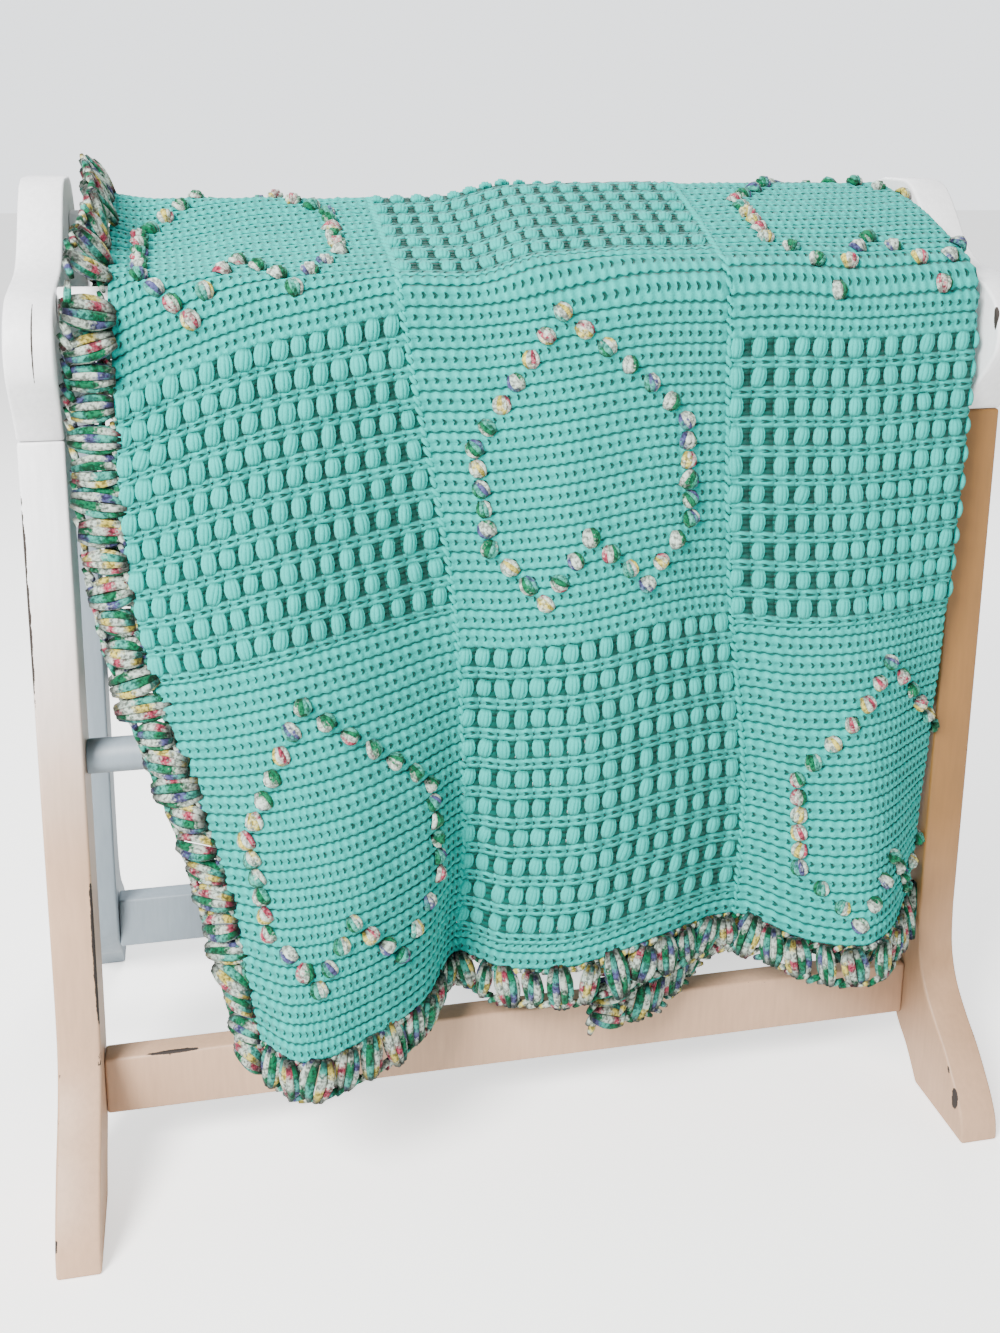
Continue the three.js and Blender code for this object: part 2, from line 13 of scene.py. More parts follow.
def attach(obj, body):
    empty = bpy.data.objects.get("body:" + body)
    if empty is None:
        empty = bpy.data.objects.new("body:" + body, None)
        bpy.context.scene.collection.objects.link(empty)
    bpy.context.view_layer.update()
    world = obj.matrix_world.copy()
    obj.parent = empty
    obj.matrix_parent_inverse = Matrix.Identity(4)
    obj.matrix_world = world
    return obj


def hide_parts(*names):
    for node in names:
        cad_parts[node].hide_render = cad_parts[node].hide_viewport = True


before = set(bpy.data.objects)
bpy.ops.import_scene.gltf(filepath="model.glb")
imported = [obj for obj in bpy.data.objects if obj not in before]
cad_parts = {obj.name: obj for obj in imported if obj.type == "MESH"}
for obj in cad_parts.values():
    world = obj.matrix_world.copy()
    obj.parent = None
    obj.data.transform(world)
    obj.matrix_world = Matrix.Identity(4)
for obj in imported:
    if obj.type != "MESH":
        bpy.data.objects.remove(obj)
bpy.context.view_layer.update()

bl_info = {
    "name": "Crochet blanket on a quilt rack",
    "version": (1, 0, 0),
    "blender": (4, 5, 0),
    "location": "3D View > Sidebar > Quilt rack",
    "description": "A crocheted blanket hung over a painted wooden rack",
    "category": "Add Mesh",
}

MM = 0.001

# ---- rack ----
RACK_WIDTH = 0.800
BOARD = 0.0345
LEG_SPAN = 0.310
LEG_DEPTH = 0.056
HEAD_BASE = 0.641
JOINT = 0.0004
RAIL_RADIUS = 0.014
TOP_RAIL_Z = 0.786
SIDE_RAIL_Z = 0.740
SIDE_RAIL_Y = 0.147
DOWEL_Y = LEG_SPAN / 2 - LEG_DEPTH / 2
DOWEL_Z = 0.375
STRETCHER = {"depth": 0.022, "height": 0.052, "y": 0.1266, "bottom": 0.052}
# Half outlines in mm: reach from the middle of the board, height.
HEAD_OUTLINE = [
    (20, 827), (34, 823), (46, 814), (60, 799), (76, 780), (93, 766), (113, 759), (146, 754),
    (170, 749), (188, 737), (198, 719), (197, 698), (186, 681), (169, 661), (155, 641),
]
FOOT_OUTER = [
    (155, 172), (158, 138), (165, 116), (177, 98), (194, 82), (213, 67), (229, 51), (243, 35),
    (253, 18), (256, 0),
]
FOOT_INNER = [(171, 0), (150, 24), (129, 41), (111, 66), (102, 93), (99, 125)]

# ---- blanket ----
CLOTH = 0.008
STRIP = 0.250
LENGTH = 1.390
FOLD_AT = 0.700
LAYER_STEP = 0.011
SEAM = 0.0009
ON_RAIL = RAIL_RADIUS + 0.0034 + CLOTH / 2
RUFFLE_REACH = 0.033
RUFFLE_PITCH = 0.0240
LEAN = math.radians(50)      # of the left border, where the head board presses it

# The hanging shape in mm, a row for each line that runs down the front of the blanket.
# Columns: distance from the left edge, cloth below the front rail, how much lower the rows lie at the
# rail than the hem alone gives, then x and the distance off the hanging plane at the top rail, half way
# up the slope, the front rail, 0.4, 0.75 and 1 of the way down.
DRAPE = np.array([
    (0, 588, 45, -331, -330, -328, -319, -262, -237, 4, 6, 2, 5, 22, 34),
    (45, 586, 32, -299, -298, -296, -279, -222, -208, 0, -6, 0, 20, 48, 72),
    (125, 580, 14, -232, -231, -228, -207, -164, -156, 0, -4, 0, 30, 58, 62),
    (190, 577, 5, -175, -173, -171, -143, -106, -104, 0, -2, 0, 15, 26, 24),
    (250, 576, -4, -119, -118, -116, -76, -63, -66, 0, 0, 0, -4, -16, -39),
    (300, 572, 0, -64, -64, -61, -30, -20, -28, 1, 1, 0, 8, 4, 0),
    (375, 559, 4, 8, 7, 6, 34, 46, 36, 2, 3, 1, 16, 14, 14),
    (437, 550, 5, 79, 77, 74, 94, 111, 102, 2, 3, 1, 9, 4, 2),
    (500, 554, 0, 150, 146, 141, 153, 179, 184, 2, 3, 1, -4, -12, -28),
    (545, 563, -10, 197, 196, 194, 207, 228, 238, 2, 5, 1, 3, 8, 14),
    (600, 556, 0, 252, 250, 248, 262, 284, 287, 2, 6, 1, 9, 22, 38),
    (700, 552, 0, 350, 350, 350, 349, 356, 355, 3, 8, 2, 0, -24, -32),
]) * MM
ACROSS, OVER, SLIP = DRAPE[:, 0], DRAPE[:, 1], DRAPE[:, 2]
LEVELS = {"x": DRAPE[:, 3:9], "out": DRAPE[:, 9:15]}
# Columns: distance from the left edge, cloth below the front rail, of the part that is folded under.
FOLDED_HEM = np.array([(416, 600), (458, 596), (500, 556), (540, 548), (620, 550), (700, 552)]) * MM
FOLDED_EDGE = 0.4167
UNDER_RISE = (0.300, 0.368)
REAR_FOLD = {"depth": 0.013, "count": 2.5}
MID_DOWN, LOW_DOWN, SLOPE_UP = 0.4, 0.75, 0.55

RISE = TOP_RAIL_Z - SIDE_RAIL_Z
PITCH = math.atan2(RISE, SIDE_RAIL_Y)
SLOPE = math.hypot(RISE, SIDE_RAIL_Y)
BEND = ON_RAIL * (math.pi / 2 - PITCH)
CREST = BEND + SLOPE + ON_RAIL * PITCH
PLACES = np.array([-1, -LOW_DOWN, -MID_DOWN, 0, BEND / CREST, SLOPE_UP, (BEND + SLOPE) / CREST, 1])
TURN = math.pi * LAYER_STEP / 2
# Distance from the left edge, over the flat blanket, where the folded part starts and where it ends.
UNDER_START = FOLD_AT + TURN
UNDER_END = UNDER_START + (FOLD_AT - FOLDED_EDGE)

# Crochet: columns of the grid across a strip, two for a stitch; a puff takes four.
COLUMNS = 64
PUFF_COLUMNS = 4
PLAIN_ROW = 0.00405
# Zones along a strip from the front hem: kind, length in mm, rows of puffs.
HEARTS_LEFT = [("plain", 324, 0), ("open", 240, 10), ("plain", 300, 0), ("open", 240, 10), ("plain", 286, 0)]
HEARTS_RIGHT = [("plain", 284, 0), ("open", 240, 10), ("plain", 300, 0), ("open", 240, 10), ("plain", 326, 0)]
OPEN_FIRST = [("plain", 24, 0), ("open", 270, 10), ("plain", 300, 0), ("open", 240, 10),
              ("plain", 300, 0), ("open", 232, 10), ("plain", 24, 0)]
# Name, zones and how far the hearts sit to the right of the middle of the strip.
STRIPS = [("left", HEARTS_LEFT, -0.006), ("centre", OPEN_FIRST, 0.0), ("right", HEARTS_RIGHT, 0.004),
          ("folded", OPEN_FIRST, 0.0)]
# Height in mm of each grid line of a pair of rows, at the edge and in the middle of a stitch.
PLAIN_RELIEF = np.array([(-1.4, -1.4), (0.5, 1.2), (-0.5, 0.4), (0.5, 1.2)]) * MM
OPEN_RELIEF = np.array([(-0.4, -0.2), (0.6, 1.3), (-0.4, -0.2), (-0.9, -0.9), (-0.9, -0.9)]) * MM
BAND_STEPS = 2               # steps of an openwork row below its puffs
BAND = BAND_STEPS / len(OPEN_RELIEF)
CLOSED = 0.92                # share of a column by which the cloth closes in on a slit
UNEVEN = 0.25                # of the relief, from stitch to stitch

BOBBLE_STEP = 0.0153
BOBBLE_ROW = 0.0162
HEART_WIDEST = 0.089
HEART_STRAIGHT_ROW = 11
HEART_TIP_ROW = 14
HEART_MARGIN = 0.037
HEART_SQUARE = 200           # mm; a shorter plain zone is an edging


def colour(red, green, blue):
    """Linear colour from display values of 0 to 255."""
    return tuple(c / 12.92 if c <= 0.04045 else ((c + 0.055) / 1.055) ** 2.4
                 for c in (red / 255, green / 255, blue / 255))


def picked(name, description, default):
    return bpy.props.FloatVectorProperty(name=name, description=description, subtype="COLOR", size=3,
                                         min=0, max=1, default=default)


def length(name, description, default):
    return bpy.props.FloatProperty(name=name, description=description, default=default, min=0,
                                   subtype="DISTANCE", unit="LENGTH", precision=4)


def power(name, description, default):
    return bpy.props.FloatProperty(name=name, description=description, default=default, min=0,
                                   subtype="POWER", unit="POWER")


class RackSettings(bpy.types.PropertyGroup):
    """Sizes and colours of the rack."""
    edge: length("Edge rounding", "Width of the worn rounding along the boards' edges", 0.0025)
    # White high up and cream lower down is painted light and shade: lighter at the top, warm shade lower
    # down.
    white: picked("White paint", "Paint of the boards near the top", colour(232, 232, 234))
    cream: picked("Cream paint", "Warm shaded paint lower down", colour(184, 149, 121))
    # Painted shade: the rear legs, the rear stretcher and the dowels are the boards' paint in shadow.
    grey: picked("Grey paint", "Paint of the pieces at the back", colour(124, 136, 145))
    # Painted warm shade: the right front leg is the boards' paint in shadow.
    tan: picked("Tan paint", "Warm shaded paint of the right legs", colour(124, 86, 40))
    wood: picked("Bare wood", "Dark wood under the paint", colour(38, 30, 26))


class BlanketSettings(bpy.types.PropertyGroup):
    """Sizes and colours of the blanket."""
    thickness: length("Cloth", "Thickness of the cloth between its raised stitches", 0.0034)
    wool: picked("Wool", "Colour of the squares", colour(8, 164, 155))
    # Painted shade deep between the stitches, in the holes and grooves and at the ends of the strands.
    hollow_shade: picked("Hollows", "Colour deep between the stitches", colour(4, 62, 50))
    white: picked("White yarn", "White part of the mixed yarn", colour(178, 192, 180))
    green: picked("Green yarn", "Green part of the mixed yarn", colour(6, 98, 64))
    aqua: picked("Aqua yarn", "Aqua part of the mixed yarn", colour(58, 152, 136))
    lemon: picked("Yellow yarn", "Yellow part of the mixed yarn", colour(192, 176, 84))
    rose: picked("Pink yarn", "Pink part of the mixed yarn", colour(156, 56, 78))
    lilac: picked("Lilac yarn", "Lilac part of the mixed yarn", colour(72, 74, 118))


class StageSettings(bpy.types.PropertyGroup):
    """Floor, light and camera."""
    floor: picked("Floor", "Colour of the floor", colour(244, 243, 241))
    key: power("Key light", "Power of the window light", 250)
    fill: power("Fill light", "Power of the warm fill", 12)
    back: power("Back light", "Power of the light behind the rack", 80)


# ---- shape of the hanging cloth ----

def curve(knots, values, at):
    """Smooth curve through the values at the knots; the values may differ from point to point."""
    at = np.clip(at, knots[0], knots[-1])
    last = len(knots) - 1
    low = np.clip(np.searchsorted(knots, at, side="left") - 1, 0, last - 1)

    def pick(k):
        return values[k] if values.ndim == 1 else values[k, np.arange(len(at))]

    def slope(k):
        before, after = np.maximum(k - 1, 0), np.minimum(k + 1, last)
        return (pick(after) - pick(before)) / (knots[after] - knots[before])

    width = knots[low + 1] - knots[low]
    t = (at - knots[low]) / width
    t2, t3 = t * t, t * t * t
    return ((2 * t3 - 3 * t2 + 1) * pick(low) + (t3 - 2 * t2 + t) * width * slope(low)
            + (3 * t2 - 2 * t3) * pick(low + 1) + (t3 - t2) * width * slope(low + 1))


def ramp(start, end, value):
    t = np.clip((value - start) / (end - start), 0, 1)
    return t * t * (3 - 2 * t)


def over(q):
    return curve(ACROSS, OVER, q)


def folded_over(q):
    return curve(FOLDED_HEM[:, 0], FOLDED_HEM[:, 1], q)


def drape(key, q, s):
    """x or the distance off the hanging plane, at q across and s along."""
    front = np.where(s > CREST, 2 * CREST - s, s)
    place = np.where(front < 0, front / over(q), front / CREST)
    top, slope, rail, mid, low, hem = [curve(ACROSS, LEVELS[key][:, k], q) for k in range(6)]
    values = np.array([hem, low, mid, rail, rail, slope, top, top])
    value = curve(PLACES, values, place)
    behind = rail
    if key == "out":
        waves = np.sin(q / FOLD_AT * REAR_FOLD["count"] * 2 * math.pi)
        behind = rail + REAR_FOLD["depth"] * ramp(0, 0.420, -front) * waves
    return np.where((s > CREST) & (front < 0), behind, value)


def middle(q, s):
    """Middle of the upper layer."""
    front = np.where(s > CREST, 2 * CREST - s, s)
    turn = np.where(front <= 0, 0, np.where(front < BEND, front / ON_RAIL, np.where(
        front < BEND + SLOPE, math.pi / 2 - PITCH, (front - SLOPE) / ON_RAIL)))
    along = np.clip(front - BEND, 0, SLOPE)
    ny, nz = -np.cos(turn), np.sin(turn)
    off = LAYER_STEP * ramp(*UNDER_RISE, q) + drape("out", q, s)
    y = -SIDE_RAIL_Y + along * math.cos(PITCH) + (ON_RAIL + off) * ny
    z = SIDE_RAIL_Z + along * math.sin(PITCH) + (ON_RAIL + off) * nz + np.minimum(front, 0)
    return np.stack([drape("x", q, s), np.where(s > CREST, -y, y), z], axis=1)


def unit(vectors):
    return vectors / np.linalg.norm(vectors, axis=1, keepdims=True)


def lay(u, v):
    """Cloth at u across the flat blanket and v from its front hem: point, side, along, facing."""
    u, v = np.broadcast_arrays(np.asarray(u, float), np.asarray(v, float))
    q = np.minimum(u, FOLD_AT) - np.maximum(u - FOLD_AT - TURN, 0)
    turn = (np.clip((u - FOLD_AT) / TURN, 0, 1) * math.pi)[:, None]
    below = np.where(u > UNDER_START, folded_over(q), over(q))
    s = v - below - curve(ACROSS, SLIP, q) * np.clip(v / below, 0, 1)
    step = 0.0015
    across = unit(middle(np.minimum(q + step, FOLD_AT), s) - middle(np.maximum(q - step, 0), s))
    along = unit(middle(q, s + step) - middle(q, s - step))
    normal = unit(np.cross(across, along))
    facing = normal * np.cos(turn) + across * np.sin(turn)
    side = across * np.cos(turn) - normal * np.sin(turn)
    point = middle(q, s) + (facing - normal) * LAYER_STEP / 2
    return point, side, along, facing


# ---- mesh helpers ----

def finished(name, mesh, material, slot, *nodes):
    """Puts a mesh into the scene as a piece that rides on the rack and stands for CAD nodes."""
    mesh.name = name
    mesh.materials.clear()
    mesh.materials.append(bpy.data.materials[material])
    piece = bpy.data.objects.new(name, mesh)
    bpy.context.scene.collection.objects.link(piece)
    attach(piece, "root")
    if nodes:
        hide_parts(*nodes)
    return piece


def mesh_of(bm, name):
    mesh = bpy.data.meshes.new(name)
    bm.to_mesh(mesh)
    bm.free()
    return mesh


def rounded(bm, width, edges):
    """Rounds edges and marks the rounding, where paint wears off first."""
    worn = bm.faces.layers.float.new("worn")
    for face in bm.faces:
        face.smooth = len(face.verts) == 4
    result = bmesh.ops.bevel(bm, geom=edges, offset=width, offset_type="OFFSET", segments=3,
                             profile=0.5, affect="EDGES", material=-1, clamp_overlap=True)
    for face in result["faces"]:
        face[worn] = 1.0
        face.smooth = True


def sharp_edges(bm, angle):
    return [edge for edge in bm.edges if edge.is_manifold and edge.calc_face_angle() > angle]


def smooth_outline(rows, steps):
    """Points on a smooth curve through rows of reach and height in mm."""
    points = [Vector(row) * MM for row in rows]
    made = []
    for k in range(steps + 1):
        at = (len(points) - 1) * k / steps
        i = min(int(at), len(points) - 2)
        t = at - i
        p0, p1, p2, p3 = (points[min(max(j, 0), len(points) - 1)] for j in range(i - 1, i + 3))
        v0, v1 = (p2 - p0) / 2, (p3 - p1) / 2
        made.append(p1 + v0 * t + (3 * (p2 - p1) - 2 * v0 - v1) * t ** 2 + (2 * (p1 - p2) + v0 + v1) * t ** 3)
    return made


def board(outline, low_x, high_x, edge):
    """A board cut to an outline in the Y-Z plane."""
    bm = bmesh.new()
    face = bm.faces.new([bm.verts.new((low_x, y, z)) for y, z in outline])
    pushed = bmesh.ops.extrude_face_region(bm, geom=[face])["geom"]
    bmesh.ops.translate(bm, verts=[part for part in pushed if isinstance(part, bmesh.types.BMVert)],
                        vec=(high_x - low_x, 0, 0))
    bmesh.ops.recalc_face_normals(bm, faces=bm.faces)
    rounded(bm, edge, sharp_edges(bm, math.radians(40)))
    return bm


def bundle(strands, long, ends, sides=5, cuts=(-0.5, 0, 0.5)):
    """A puff stitch along Y made of strands that swell in the middle.

    Each strand is a row of x and z in the middle, x and z at the ends, and its radius, in mm; ends is
    the radius at its ends, and sides and cuts say how finely it is made round and along.
    """
    bm = bmesh.new()
    strand_layer = bm.verts.layers.float.new("strand")
    along_layer = bm.verts.layers.float.new("along")
    for number, (mid_x, mid_z, end_x, end_z, radius) in enumerate(strands):
        tube = bmesh.ops.create_cone(bm, cap_ends=True, segments=sides, radius1=1, radius2=1, depth=2,
                                     matrix=Matrix.Rotation(math.radians(-90), 4, "X"))["verts"]
        for cut in cuts:
            geom = [*tube, *{e for v in tube for e in v.link_edges}, *{f for v in tube for f in v.link_faces}]
            made = bmesh.ops.bisect_plane(bm, geom=geom, plane_co=(0, cut, 0), plane_no=(0, 1, 0))
            tube += [part for part in made["geom_cut"] if isinstance(part, bmesh.types.BMVert)]
        for vert in set(tube):
            swell = 1 - vert.co.y ** 2
            thick = ends + (radius - ends) * swell
            vert[strand_layer] = number / len(strands)
            vert[along_layer] = vert.co.y / 2 + 0.5
            vert.co = Vector((
                (end_x + (mid_x - end_x) * swell + thick * vert.co.x) * MM,
                vert.co.y * long / 2,
                (end_z + (mid_z - end_z) * swell + thick * vert.co.z) * MM,
            ))
    for face in bm.faces:
        face.smooth = True
    return mesh_of(bm, "bundle")


def placing_nodes():
    """Geometry nodes that put one shape on every point, turned and sized by the point's own values."""
    tree = bpy.data.node_groups.new("Place stitches", "GeometryNodeTree")
    for name, side, kind in (("Points", "INPUT", "Geometry"), ("Shape", "INPUT", "Object"),
                             ("Stitches", "OUTPUT", "Geometry")):
        tree.interface.new_socket(name, in_out=side, socket_type="NodeSocket" + kind)
    given, result = tree.nodes.new("NodeGroupInput"), tree.nodes.new("NodeGroupOutput")
    shape, place, real, turn, size = (tree.nodes.new("GeometryNode" + kind) for kind in (
        "ObjectInfo", "InstanceOnPoints", "RealizeInstances", "InputNamedAttribute", "InputNamedAttribute"))
    for node, name, kind in ((turn, "turn", "QUATERNION"), (size, "size", "FLOAT_VECTOR")):
        node.data_type = kind
        node.inputs["Name"].default_value = name
    for source, leaving, target, entering in (
            (given, "Points", place, "Points"), (given, "Shape", shape, "Object"),
            (shape, "Geometry", place, "Instance"), (turn, "Attribute", place, "Rotation"),
            (size, "Attribute", place, "Scale"), (place, "Instances", real, "Geometry"),
            (real, "Geometry", result, "Stitches")):
        tree.links.new(source.outputs[leaving], target.inputs[entering])
    return tree


def scattered(shape, point, side, along, size, tint):
    """One joined mesh of copies of a shape. X of the shape points to side and Y along."""
    count = len(point)
    spots = bpy.data.meshes.new("spots")
    spots.vertices.add(count)
    spots.vertices.foreach_set("co", np.ascontiguousarray(point, np.float32).ravel())
    facing = unit(np.cross(side, along))
    side = unit(np.cross(along, facing))
    turns = [Matrix((side[k], along[k], facing[k])).transposed().to_quaternion() for k in range(count)]
    values = {
        "turn": ("QUATERNION", "value", np.array(turns, np.float32)),
        "size": ("FLOAT_VECTOR", "vector", np.asarray(size, np.float32)),
        "tint": ("FLOAT", "value", np.asarray(tint, np.float32)),
    }
    for name, (kind, key, numbers) in values.items():
        spots.attributes.new(name, kind, "POINT").data.foreach_set(key, numbers.ravel())
    source = bpy.data.objects.new("shape", shape)
    holder = bpy.data.objects.new("spots", spots)
    bpy.context.scene.collection.objects.link(holder)
    modifier = holder.modifiers.new("Place stitches", "NODES")
    modifier.node_group = bpy.data.node_groups.get("Place stitches") or placing_nodes()
    modifier["Socket_1"] = source
    ready = holder.evaluated_get(bpy.context.evaluated_depsgraph_get())
    mesh = bpy.data.meshes.new_from_object(ready)
    bpy.data.objects.remove(holder)
    bpy.data.objects.remove(source)
    for name in ("turn", "size"):
        if name in mesh.attributes:
            mesh.attributes.remove(mesh.attributes[name])
    return mesh


# ---- materials ----

def add(tree, kind, inputs=None, **settings):
    """A shader node with its settings, and its inputs set or linked."""
    made = tree.nodes.new("ShaderNode" + kind)
    for name, value in settings.items():
        setattr(made, name, value)
    for name, value in (inputs or {}).items():
        if isinstance(value, bpy.types.NodeSocket):
            tree.links.new(value, made.inputs[name])
        elif made.inputs[name].type == "RGBA" and len(value) == 3:
            made.inputs[name].default_value = (*value, 1)
        else:
            made.inputs[name].default_value = value
    return made


def calc(tree, operation, *values):
    return add(tree, "Math", dict(enumerate(values)), operation=operation).outputs[0]


def plus(tree, *values):
    return calc(tree, "ADD", *values)


def minus(tree, *values):
    return calc(tree, "SUBTRACT", *values)


def times(tree, *values):
    return calc(tree, "MULTIPLY", *values)


def mixed(tree, factor, a, b, blend="MIX"):
    node = add(tree, "Mix", {0: factor, 6: a, 7: b}, data_type="RGBA", blend_type=blend)
    return node.outputs[2]


def smoothly(tree, value, low, high):
    """0 below low, 1 above high."""
    return add(tree, "MapRange", {0: value, 1: low, 2: high, 3: 0.0, 4: 1.0},
               interpolation_type="SMOOTHSTEP").outputs[0]


def noise(tree, vector, scale, detail=3.0, rough=0.55):
    settings = {"Vector": vector, "Scale": scale, "Detail": detail, "Roughness": rough}
    return add(tree, "TexNoise", settings).outputs["Fac"]


def rescaled(tree, value, low, high, new_low, new_high):
    """Value from the range low to high, brought to the new range."""
    return add(tree, "MapRange", {0: value, 1: low, 2: high, 3: new_low, 4: new_high}).outputs[0]


def even(tree, value):
    """Grey of a value."""
    return add(tree, "CombineColor", {k: value for k in range(3)}).outputs[0]


def kept(tree, name):
    """A value that the mesh carries."""
    return add(tree, "Attribute", attribute_name=name).outputs["Fac"]


def raised(tree, shader, strength, distance, height):
    bump = add(tree, "Bump", {"Strength": strength, "Distance": distance, "Height": height})
    tree.links.new(bump.outputs[0], shader.inputs["Normal"])


def new_group(name, inputs, outputs):
    """A shader node group with named sockets: (name, kind, default) and (name, kind)."""
    tree = bpy.data.node_groups.new(name, "ShaderNodeTree")
    kinds = {"vector": "NodeSocketVector", "value": "NodeSocketFloat", "colour": "NodeSocketColor"}
    for socket, kind, default in inputs:
        made = tree.interface.new_socket(socket, in_out="INPUT", socket_type=kinds[kind])
        if default is not None:
            made.default_value = default
    for socket, kind in outputs:
        tree.interface.new_socket(socket, in_out="OUTPUT", socket_type=kinds[kind])
    return tree, tree.nodes.new("NodeGroupInput").outputs, tree.nodes.new("NodeGroupOutput").inputs


def use(tree, group, **inputs):
    node = tree.nodes.new("ShaderNodeGroup")
    node.node_tree = bpy.data.node_groups[group]
    for name, value in inputs.items():
        socket = node.inputs[name.replace("_", " ")]
        if isinstance(value, bpy.types.NodeSocket):
            tree.links.new(value, socket)
        elif socket.type == "RGBA":
            socket.default_value = (*value, 1)
        else:
            socket.default_value = value
    return node.outputs


def new_material(name, shown):
    material = bpy.data.materials.new(name)
    material.use_nodes = True
    material.diffuse_color = (*shown, 1)
    tree = material.node_tree
    return tree, tree.nodes["Principled BSDF"]


def worn_paint_group():
    """Brushed paint with thin spots, rubbed edges, chips and marks at given places, and a change of colour
    below a height that is painted light and shade.
    """
    tree, given, out = new_group(
        "Worn paint",
        [("Vector", "vector", None), ("Paint", "colour", None), ("Low paint", "colour", None),
         ("Wood", "colour", None), ("Edge", "value", 0.0), ("Wear", "value", 0.5), ("Marks", "value", 0.0),
         ("Turn", "value", 0.5)],
        [("Colour", "colour"), ("Bare", "value"), ("Height", "value")])
    place = given["Vector"]
    stretched = add(tree, "Mapping", {"Vector": place, "Scale": (1.0, 1.0, 0.12)}).outputs[0]
    streaks = noise(tree, stretched, 260.0, 4.0)
    clouds = noise(tree, place, 9.0, 3.0)
    rub = noise(tree, place, 38.0, 5.0, 0.7)
    fine = noise(tree, place, 190.0, 4.0, 0.7)
    level = plus(tree, times(tree, rub, 0.62), times(tree, fine, 0.38))
    limit = minus(tree, 0.72, times(tree, given["Wear"], 0.20))
    edge_bare = times(tree, smoothly(tree, minus(tree, level, limit), 0.0, 0.04), given["Edge"])
    chip_noise = noise(tree, place, 24.0, 6.0, 0.75)
    chips = smoothly(tree, chip_noise, 0.775, 0.79)
    ragged = times(tree, minus(tree, level, 0.5), 2.2)
    marks = smoothly(tree, plus(tree, given["Marks"], ragged), 0.50, 0.58)
    bare = calc(tree, "MAXIMUM", calc(tree, "MAXIMUM", edge_bare, chips), marks)
    shade = rescaled(tree, streaks, 0.3, 0.7, 0.93, 1.04)
    tone = rescaled(tree, clouds, 0.3, 0.7, 0.92, 1.05)
    both = times(tree, shade, tone)
    grey = even(tree, both)
    # Below Turn the paint turns to Low paint: painted light and shade that change with height.
    turn = plus(tree, given["Turn"], times(tree, clouds, 0.1))
    below = minus(tree, turn, add(tree, "SeparateXYZ", {0: place}).outputs["Z"])
    lower = smoothly(tree, below, -0.14, 0.16)
    coat = mixed(tree, 1.0, mixed(tree, lower, given["Paint"], given["Low paint"]), grey, "MULTIPLY")
    tree.links.new(mixed(tree, bare, coat, given["Wood"]), out["Colour"])
    tree.links.new(bare, out["Bare"])
    height = minus(tree, times(tree, streaks, 0.25), bare)
    tree.links.new(height, out["Height"])


def wool_group():
    """Fibres and twist of the wool."""
    tree, given, out = new_group(
        "Wool fibre", [("Vector", "vector", None), ("Size", "value", 1.0)],
        [("Shade", "value"), ("Height", "value")])
    scale = calc(tree, "DIVIDE", 900.0, given["Size"])
    fibres = noise(tree, given["Vector"], scale, 3.0, 0.6)
    broad = noise(tree, given["Vector"], 45.0, 3.0, 0.5)
    shade = times(tree, rescaled(tree, fibres, 0.3, 0.7, 0.86, 1.08),
                  rescaled(tree, broad, 0.3, 0.7, 0.92, 1.05))
    tree.links.new(shade, out["Shade"])
    tree.links.new(fibres, out["Height"])


def mixed_yarn_group(settings):
    """Yarn that changes colour along its length."""
    tree, given, out = new_group(
        "Mixed yarn", [("Vector", "vector", None), ("Tint", "value", 0.0), ("Strand", "value", 0.0),
                       ("Along", "value", 0.0), ("Spread", "value", 1.0)],
        [("Colour", "colour")])
    reached = plus(tree, times(tree, given["Strand"], 1.31), times(tree, given["Along"], 0.26))
    ragged = times(tree, noise(tree, given["Vector"], 420.0, 2.0), 0.12)
    start = plus(tree, times(tree, given["Tint"], 13.7), ragged)
    where = calc(tree, "FRACT", plus(tree, start, times(tree, reached, given["Spread"])))
    ramp_node = add(tree, "ValToRGB", {0: where})
    bands = [(0.0, settings.white), (0.10, settings.green), (0.23, settings.aqua), (0.33, settings.white),
             (0.42, settings.lemon), (0.50, settings.white), (0.57, settings.rose), (0.63, settings.white),
             (0.71, settings.green), (0.81, settings.aqua), (0.88, settings.lilac), (0.95, settings.white)]
    ends = [place for place, _ in bands[1:]] + [1.0]
    blend = 0.018
    stops = [(place, tint) for (low, tint), high in zip(bands, ends) for place in (low + blend, high - blend)]
    elements = ramp_node.color_ramp.elements
    while len(elements) < len(stops):
        elements.new(0.5)
    for element, (place, tint) in zip(elements, stops):
        element.position = place
        element.color = (*tint, 1)
    tree.links.new(ramp_node.outputs[0], out["Colour"])


# Where the paint has come off: centre and reach in mm.
MARKS = [
    ((-400, -155, 512), (3, 3, 135)), ((-365.5, -155, 215), (3.2, 4, 98)), ((-400, -250, 36), (4, 6, 22)),
    ((-380, -190, 722), (0.9, 20, 46)), ((-309, -137.6, 104.5), (34, 5, 2.2)),
    ((365.5, -193, 726), (2.6, 4, 14)), ((365.5, -239, 36), (3, 6, 17)), ((365.5, -226, 70), (1.8, 5, 26)),
    ((386, -237, 33), (6, 9, 1.3)),
]


